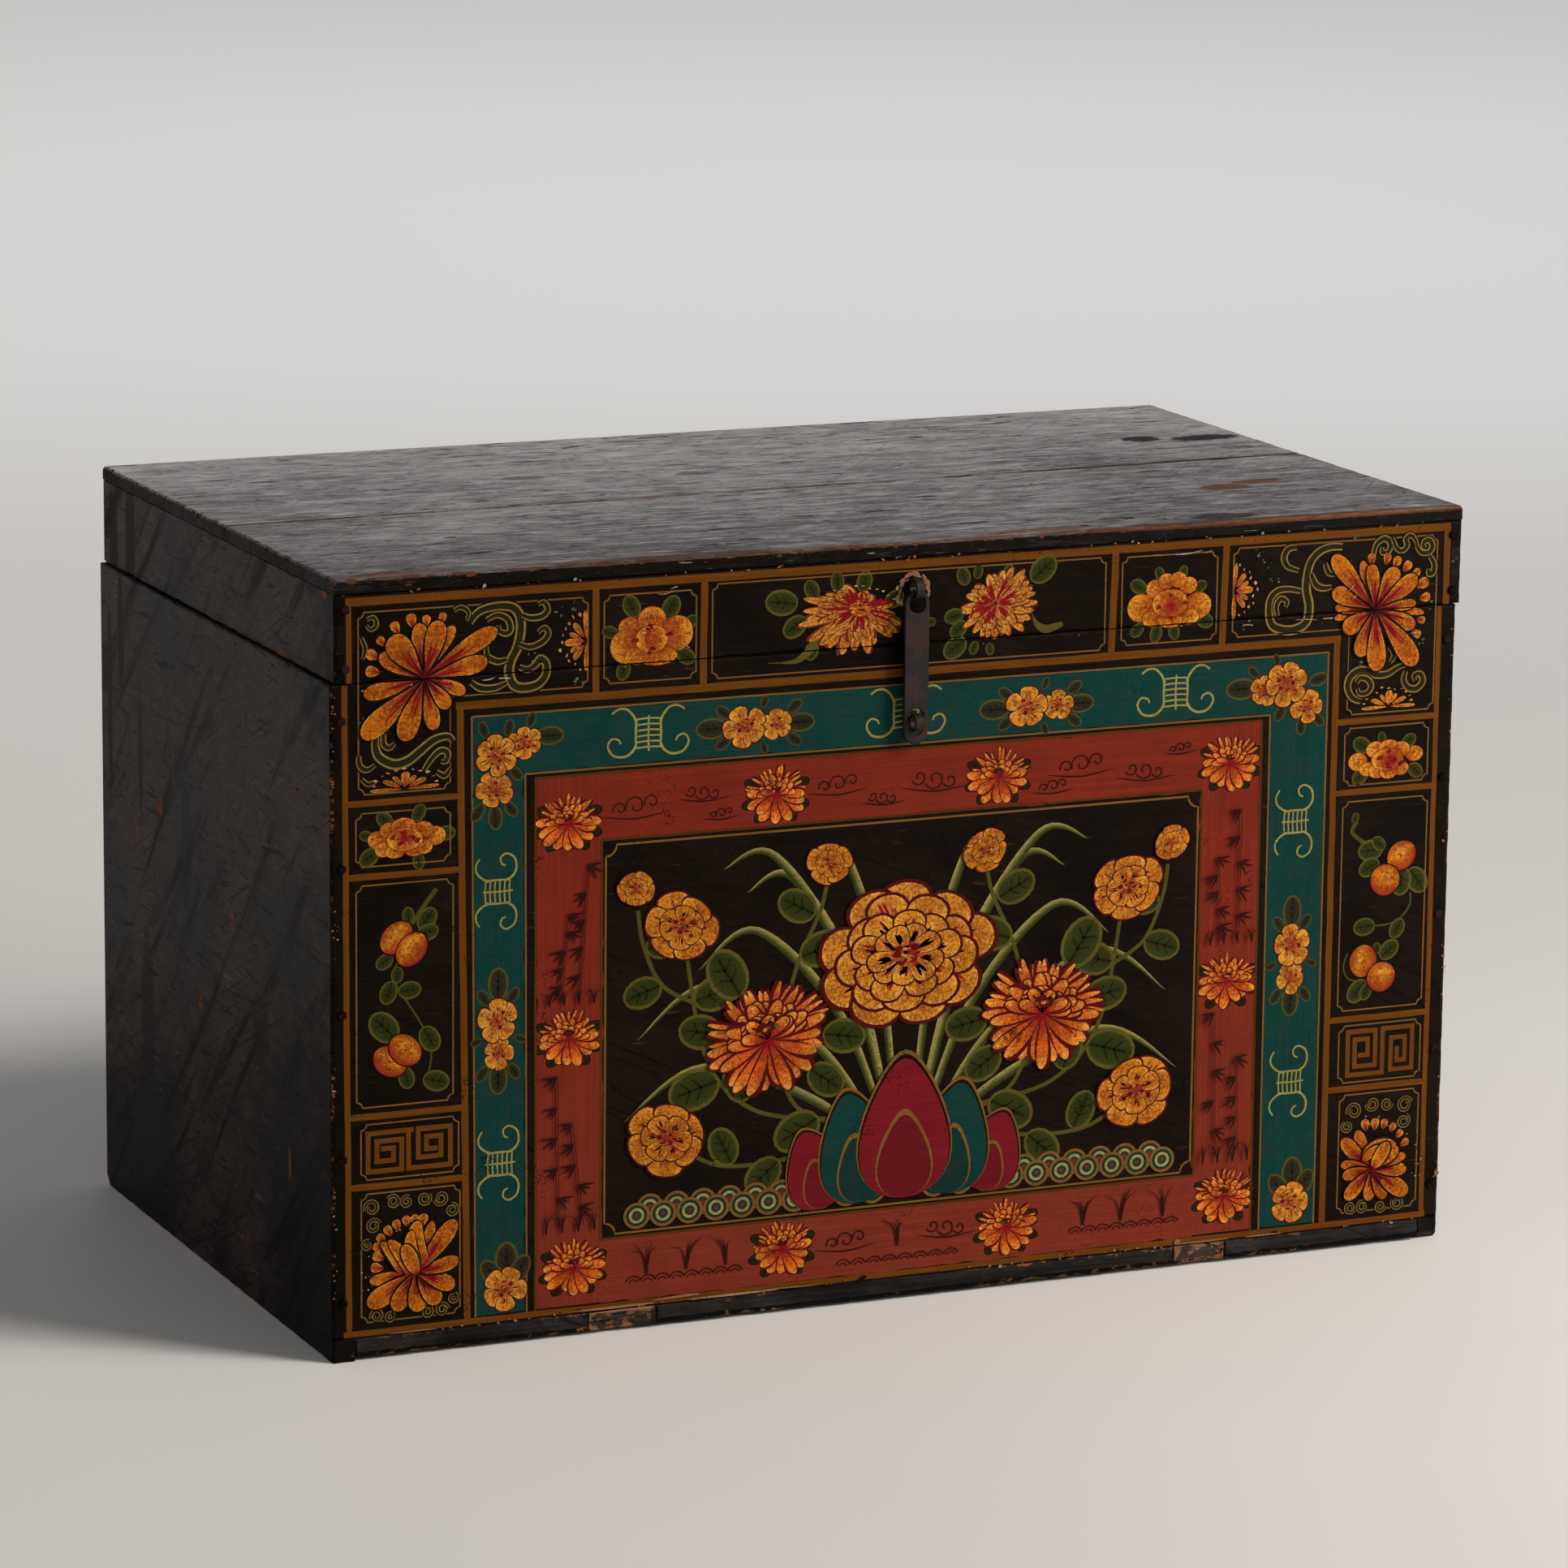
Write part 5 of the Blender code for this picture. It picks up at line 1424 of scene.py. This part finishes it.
    def foot(self, name, paths, curls, heart, flip, tips, fringe, buds):
        """Paint the fret field and the lotus field of one column."""
        film = Film()
        fret(film, paths)
        for k, (x, z, radius, start) in enumerate(curls):
            film.scroll(spiral(x, z, radius, radius * 0.4, start, 420 if k % 2 else -420, 26), 3.2)
        film.coats += 4
        lotus(film, *heart, tips, fringe, 9, 0.5)
        paint = petal_paint(film.ink.root, film.ink.body, film.ink.rim, 0.5)
        for root_x, root_z, tip_x, tip_z, half, bend in buds:
            away = Vector((tip_x - root_x, tip_z - root_z))
            angle = bearing(*away)
            reach = away.length + 1.2
            film.petal(root_x, root_z, angle, reach, half + 1.3, film.ink.dark, 0.05, bend, 12, 1)
            film.petal(root_x, root_z, angle, away.length, half, paint, 0.05, bend, 14, 4)
        luck = random.Random(13)
        for k in range(22):
            way = luck.uniform(60, 200)
            spot = Vector(heart) + heading(way if flip > 0 else 180 - way, luck.uniform(33, 42))
            film.dab(*spot, luck.uniform(0.4, 0.8), linear(172, 166, 140), k, film.coats)
        film.hang(f"column_{name}_lotus")


class TRUNK_OT_band_flowers(TrunkOperator, bpy.types.Operator):
    """Paint the blossoms and ornaments on the teal band and the red band"""

    bl_idname = "trunk.band_flowers"
    bl_label = "Flowers on the bands"

    def execute(self, context):
        ink = context.scene.trunk_paints
        groups = (
            ("top", ((231, 424, 0), (425, 424, 0), (635, 424, 0)), ((312, 424, 0), (527, 422, 0))),
            ("left", ((121, 322, 90), (123, 130, 90)), ((121, 223, -90),)),
            ("right", ((734, 323, 90), (735, 130, 90)), ((733, 223, -90),)),
        )
        for name, ladders, pairs in groups:
            film = Film()
            for x, z, turn in ladders:
                film.at(x, z, turn, 0.88 if turn else 1)
                emblem(film)
            for x, z, turn in pairs:
                pair(film, x, z, turn, int(x + z))
            if name != "top":
                x = 126 if name == "left" else 737
                film.at(x, 38)
                teal_leaves(film, [(2, 8, 92, 28), (-3, 6, 128, 22), (6, 6, 60, 22)])
                film.at(x, 40, 0, 16, 16, film.coats)
                blossom(film, x, 5, 1, 0.7)
                film.at(0, 0)
                if name == "left":
                    leaves = [(148, 428, 0, 21), (112, 430, 110, 12), (127, 430, 75, 12),
                              (143, 435, 70, 11), (110, 384, 235, 14), (118, 382, 275, 17),
                              (126, 384, 310, 13), (130, 408, 310, 12)]
                    flowers = ((118, 393, 13.5, 5), (140, 424, 12.5, 6), (119, 417, 15.5, 6))
                else:
                    leaves = [(700, 423, 180, 25), (701, 431, 140, 11), (742, 424, 15, 15),
                              (722, 409, 240, 13), (736, 399, 270, 13), (746, 401, 310, 12),
                              (716, 438, 100, 9)]
                    flowers = ((706, 421, 12, 5), (740, 407, 13, 5), (723, 425, 17.5, 6))
                teal_leaves(film, leaves)
                coats = film.coats
                for away, rise, radius, petals in flowers:
                    film.at(away, rise, 0, radius, radius * 0.95, coats)
                    blossom(film, away, petals, 1, 0.6)
                    coats = film.coats
            film.hang(f"teal_flowers_{name}")
        groups = (
            ("top", ((172, 366), (327, 374), (497, 374), (680, 370))),
            ("sides", ((173, 214), (681, 210))), ("foot", ((177, 50), (335, 47), (509, 45), (683, 50))),
        )
        for name, spots in groups:
            film = Film()
            for x, z in spots:
                film.at(x, z, 0, 25, 21)
                mum(film, x + z)
            film.hang(f"red_flowers_{name}")
        film = Film()
        for x, z, size, flip in (
            (222, 374, 8, 1), (272, 380, 6, -1), (286, 364, 4, 1), (374, 378, 7, 1), (408, 366, 5, -1),
            (448, 376, 8, -1), (540, 364, 5, 1), (562, 378, 8, 1), (612, 370, 7, -1), (640, 384, 4, 1),
            (384, 48, 7, 1), (462, 50, 7, -1),
        ):
            cloud(film, x, z, size, flip)
        for k in range(8):
            for x, z in ((222 + k * 11, 33), (564 + k * 11, 33), (382 + k * 12, 28)):
                film.ribbon(spiral(x, z, 6, 6, 20, 140, 8), 0.4, ink.ink)
                film.ribbon(spiral(x, z, 3.4, 3.4, 20, 140, 8), 0.35, ink.ink)
        for seed, x in enumerate((232, 262, 292, 570, 600, 634, 424), 1):
            tuft(film, x, 40, 24, seed)
        for x in (174, 682):
            bamboo(film, x + 6, 240, 96, x)
            bamboo(film, x - 8, 240, 62, x + 3)
            bamboo(film, x - 9, 80, 108, x + 1)
            bamboo(film, x + 9, 80, 74, x + 2)
            for k in range(4):
                tuft(film, x - 18 + 12 * k, 76, 16, k)
                tuft(film, x - 16 + 11 * k, 238, 12, k + 5)
        film.hang("red_band_drawing")
        return {"FINISHED"}


class TRUNK_OT_centre_panel(TrunkOperator, bpy.types.Operator):
    """Paint the flowering spray on the middle panel"""

    bl_idname = "trunk.centre_panel"
    bl_label = "Middle panel"

    def execute(self, context):
        ink = context.scene.trunk_paints
        stalk = blend(ink.leaf_rim, ink.leaf, 0.35)
        for name, flip in (("left", -1), ("right", 1)):
            film = Film().at(MIDDLE, 0, 0, flip, 1)
            for reach, rise, drop in (
                (64, 232, -4), (122, 222, 8), (158, 186, 24), (204, 150, 34), (214, 92, 34),
                (140, 238, 6),
            ):
                bow = (reach * 0.3, 92 + rise * 0.62), (reach * 0.72, 92 + rise), (reach, 92 + rise - drop)
                blade = curve([(3, 92), *bow], 9)
                half = lambda t: 3.4 * math.sin(math.pi * min(1, 0.1 + t * 0.9)) + 0.1
                film.ribbon(blade, half, lambda t, v: blend(ink.leaf, ink.glow, 0.25 + 0.75 * v), 4)
            for points in (
                [(4, 96), (44, 128), (84, 150), (100, 190)],
                [(60, 138), (116, 150), (152, 190), (168, 270)],
                [(40, 124), (92, 112), (140, 112), (172, 128)],
                [(100, 190), (84, 250), (66, 290), (60, 318)],
                [(160, 230), (186, 246), (200, 276), (204, 300)],
            ):
                film.ribbon(curve(points, 8), 1.5, stalk)
            black_leaves(film, [
                (44, 128, 150, 32), (66, 140, -28, 38), (124, 156, 80, 34), (142, 174, -16, 40),
                (162, 232, 165, 34), (82, 256, 162, 34), (70, 286, 28, 32), (96, 112, -40, 32),
                (132, 112, 64, 30), (186, 246, -18, 30), (198, 272, 168, 28), (126, 232, 58, 40),
                (140, 206, 12, 34), (64, 200, 190, 34), (74, 176, 215, 32),
            ])
            for row, rise in ((0, 88), (1, 82.5)):
                for k in range(10):
                    middle = 14 + k * 20 + row * 10
                    for ring in range(5):
                        radius = 10 - ring * 2.1
                        tint = (ink.line, blend(ink.teal, ink.dark, 0.3), ink.glow, ink.teal, ink.red)[ring]
                        film.oval(middle, rise, radius, radius * 0.95, tint, 12, 1)
            coats = film.coats
            for x, z, radius, petals in (
                (172, 286, 28, 6), (60, 322, 17, 5), (206, 316, 14, 5), (182, 136, 30, 6),
            ):
                film.at(MIDDLE + flip * x, z, 20 * flip, radius, radius * 0.86, coats)
                blossom(film, x, petals, 2, 0.3, 0.6)
                coats = film.coats
            film.at(MIDDLE + flip * 106, 200, -12 * flip, 50, 42, coats)
            mum(film, 106, False, 15)
            film.at(0, 0)
            film.hang(f"panel_{name}")
        film = Film().at(MIDDLE, 0, coats=MOUND_COAT)
        crimson = linear(124, 24, 34)
        for lean, tall, half in ((-58, 62, 24), (58, 62, 24), (-30, 86, 29), (30, 86, 29), (0, 108, 35)):
            inner = ink.teal if abs(lean) == 30 else crimson
            tints = ink.line, ink.dark, inner, ink.line, blend(inner, ink.dark, 0.25)
            for ring, tint in enumerate(tints):
                share = 1 - (0, 0.03, 0.06, 0.4, 0.44)[ring]
                film.petal(lean, 75, 90 - lean * 0.35, tall * share, half * share, tint, -0.4, 0, 16, 1)
        film.at(MIDDLE, 252, 0, 66, 54, film.coats)
        blossom(film, 77, 9, 4, 0.6, 0.45)
        film.hang("panel_middle")
        return {"FINISHED"}


class TRUNK_OT_wear_marks(TrunkOperator, bpy.types.Operator):
    """Scatter chips along the edges and wear the paint round the hasp"""

    bl_idname = "trunk.wear_marks"
    bl_label = "Chips and scuffs"

    def execute(self, context):
        luck = random.Random(31)
        pale, raw, red = linear(196, 180, 164), linear(150, 98, 64), linear(112, 46, 34)
        film = Film().at(0, 0, coats=CHIP_COAT)
        for k in range(26):
            angle = -20 + 220 * k / 25 + luck.uniform(-4, 4)
            spot = Vector(EYE) + heading(angle, luck.uniform(10.5, 14))
            reach, half = luck.uniform(3, 6), luck.uniform(0.6, 1.4)
            film.petal(*spot, angle + 90, reach, half, blend(raw, pale, luck.uniform(0, 0.6)), 0.2)
        for k in range(64):
            away = 0.6 + luck.expovariate(0.7)
            x = away if k % 3 else FRONT_RIGHT - away
            z = luck.choice((455, 396, 310, 205, 122, 60)) + luck.gauss(0, 11)
            size = luck.uniform(0.3, 0.7) + luck.expovariate(4)
            spot = clamp(x, FRONT_LEFT, FRONT_RIGHT), clamp(z, FRONT_LOW, FRONT_HIGH)
            film.dab(*spot, size, luck.choice((red, raw, pale, raw)), k)
        for k in range(70):
            x = luck.choice((150, 300, 560, 760)) + luck.gauss(0, 70)
            z = luck.gauss(BASE_JOINT, 0.7)
            size = luck.uniform(0.4, 1.0) + luck.expovariate(3)
            film.dab(clamp(x, 20, 838), z, size, luck.choice((raw, raw, pale, film.ink.dark)), k)
        for k in range(26):
            size = luck.uniform(0.3, 0.9)
            spot = luck.uniform(20, 840), SEAM - luck.expovariate(0.5)
            film.dab(*spot, size, luck.choice((pale, raw, red)), k)
        for k in range(44):
            spot = luck.uniform(6, 852), luck.gauss(LID_EDGE, 0.6)
            film.dab(*spot, luck.uniform(0.3, 1.4), luck.choice((pale, raw, raw)), k)
        for x, z, reach, angle in (
            (236, 521.5, 12, -6), (246, 524, 6, 20), (613, 524.6, 8, 0), (631, 524, 22, 1),
            (654, 524, 7, 4), (686, 469.6, 9, 2), (728, 470.6, 18, 0), (750, 470.2, 9, 0),
            (108, 470.3, 10, 0), (120, 470.6, 9, 0), (774, 483, 4, 30), (771, 489, 6, 40),
            (815, 463, 5, -30), (822, 454.5, 8, 10), (225, 495, 3, 0), (228, 500, 3, 60),
            (252, 481.5, 3, 10), (258, 484, 3, -40),
        ):
            half, share = luck.uniform(0.25, 0.6), luck.uniform(0, 0.5)
            film.petal(x, z, angle, reach, half, blend(pale, raw, share), 0.1, luck.uniform(-30, 30))
        for x in (187.5, 239.5, 642.5, 684.5):
            film.bar(x, 3, x, 16, 1.3, film.ink.dark)
        for x, z, reach, half, angle in (
            (176, 18.6, 62, 0.9, 0), (236, 20.4, 36, 0.8, 2), (262, 18.2, 70, 0.8, 0),
            (322, 19, 40, 0.5, -1), (188, 15.9, 50, 0.7, 0), (644, 18.2, 44, 0.6, 0),
            (700, 17.8, 30, 0.5, 0), (40, 17.9, 36, 0.5, 0),
        ):
            film.petal(x, z, angle, reach, half, blend(raw, pale, luck.uniform(0, 0.35)), 0.1)
        film.hang("paint_chips")
        return {"FINISHED"}


class TRUNK_OT_stage(TrunkOperator, bpy.types.Operator):
    """Set up the floor, the soft studio light and the camera"""

    bl_idname = "trunk.stage"
    bl_label = "Studio stage"

    def execute(self, context):
        scene = context.scene
        stage = scene.trunk_stage
        mesh = bmesh.new()
        bmesh.ops.create_circle(mesh, cap_ends=True, segments=96, radius=14)
        data = bpy.data.meshes.new("studio_floor")
        mesh.to_mesh(data)
        mesh.free()
        data.materials.append(floor_material("pale_floor"))
        floor = bpy.data.objects.new("studio_floor", data)
        scene.collection.objects.link(floor)
        world = bpy.data.worlds.new("studio")
        world.use_nodes = True
        sky = world.node_tree.nodes["Background"]
        sky.inputs["Color"].default_value = (0.97, 0.98, 1.0, 1)
        sky.inputs["Strength"].default_value = stage.sky
        scene.world = world
        warm, warmer = (1.0, 0.97, 0.93), (1.0, 0.96, 0.91)
        self.light("key", "SUN", stage.key, aim=(-0.77, 0.64, -0.78), color=warm, angle=0.3)
        place, aim = (1.7, -1.4, 0.8), (-1.6, 1.2, -0.5)
        self.light("soft_lamp", "AREA", stage.lamp, place, aim, color=warmer, size=0.9)
        self.light("far_lamp", "AREA", stage.far, (2.6, 5.2, 3.2), size=4)
        data = bpy.data.cameras.new("camera")
        data.lens = stage.lens
        data.sensor_width = 36
        data.clip_end = 100
        camera = bpy.data.objects.new("camera", data)
        level = math.cos(stage.pitch)
        ahead = Vector((math.sin(stage.yaw) * level, math.cos(stage.yaw) * level, -math.sin(stage.pitch)))
        right = Vector((math.cos(stage.yaw), -math.sin(stage.yaw), 0))
        up = right.cross(ahead)
        turned = Matrix((right, up, -ahead)).transposed() @ Matrix.Rotation(stage.roll, 3, "Z")
        camera.matrix_world = Matrix.Translation(stage.place) @ turned.to_4x4()
        scene.collection.objects.link(camera)
        scene.camera = camera
        scene.view_settings.view_transform = "Standard"
        return {"FINISHED"}

    def light(self, name, kind, energy, place=(0, 0, 0), aim=None, **settings):
        """Put up one lamp that shines down or along a given way."""
        data = bpy.data.lights.new(name, kind)
        data.energy = energy
        for key, value in settings.items():
            setattr(data, key, value)
        lamp = bpy.data.objects.new(name, data)
        lamp.location = place
        if aim:
            lamp.rotation_euler = Vector(aim).to_track_quat("-Z", "Y").to_euler()
        bpy.context.scene.collection.objects.link(lamp)


class TRUNK_PT_panel(bpy.types.Panel):
    """Steps that dress the trunk"""

    bl_label = "Painted trunk"
    bl_idname = "TRUNK_PT_panel"
    bl_space_type = "VIEW_3D"
    bl_region_type = "UI"
    bl_category = "Trunk"

    def draw(self, context):
        for step in STEPS:
            self.layout.operator(step.bl_idname)
        for group in (context.scene.trunk_paints, context.scene.trunk_sizes, context.scene.trunk_stage):
            box = self.layout.box()
            for name in group.__annotations__:
                box.prop(group, name)


STEPS = (
    TRUNK_OT_stage, TRUNK_OT_boards, TRUNK_OT_ironwork, TRUNK_OT_bands, TRUNK_OT_lid_flowers,
    TRUNK_OT_side_columns, TRUNK_OT_band_flowers, TRUNK_OT_centre_panel, TRUNK_OT_wear_marks,
)
GROUPS = {"trunk_paints": TrunkPaints, "trunk_sizes": TrunkSizes, "trunk_stage": TrunkStage}


def register():
    for kind in (*GROUPS.values(), *STEPS, TRUNK_PT_panel):
        bpy.utils.register_class(kind)
    for name, kind in GROUPS.items():
        setattr(bpy.types.Scene, name, PointerProperty(type=kind))


def unregister():
    for name in GROUPS:
        delattr(bpy.types.Scene, name)
    for kind in reversed((*GROUPS.values(), *STEPS, TRUNK_PT_panel)):
        bpy.utils.unregister_class(kind)


def main():
    register()
    for step in STEPS:
        group, name = step.bl_idname.split(".")
        getattr(getattr(bpy.ops, group), name)()


if __name__ == "__main__":
    main()
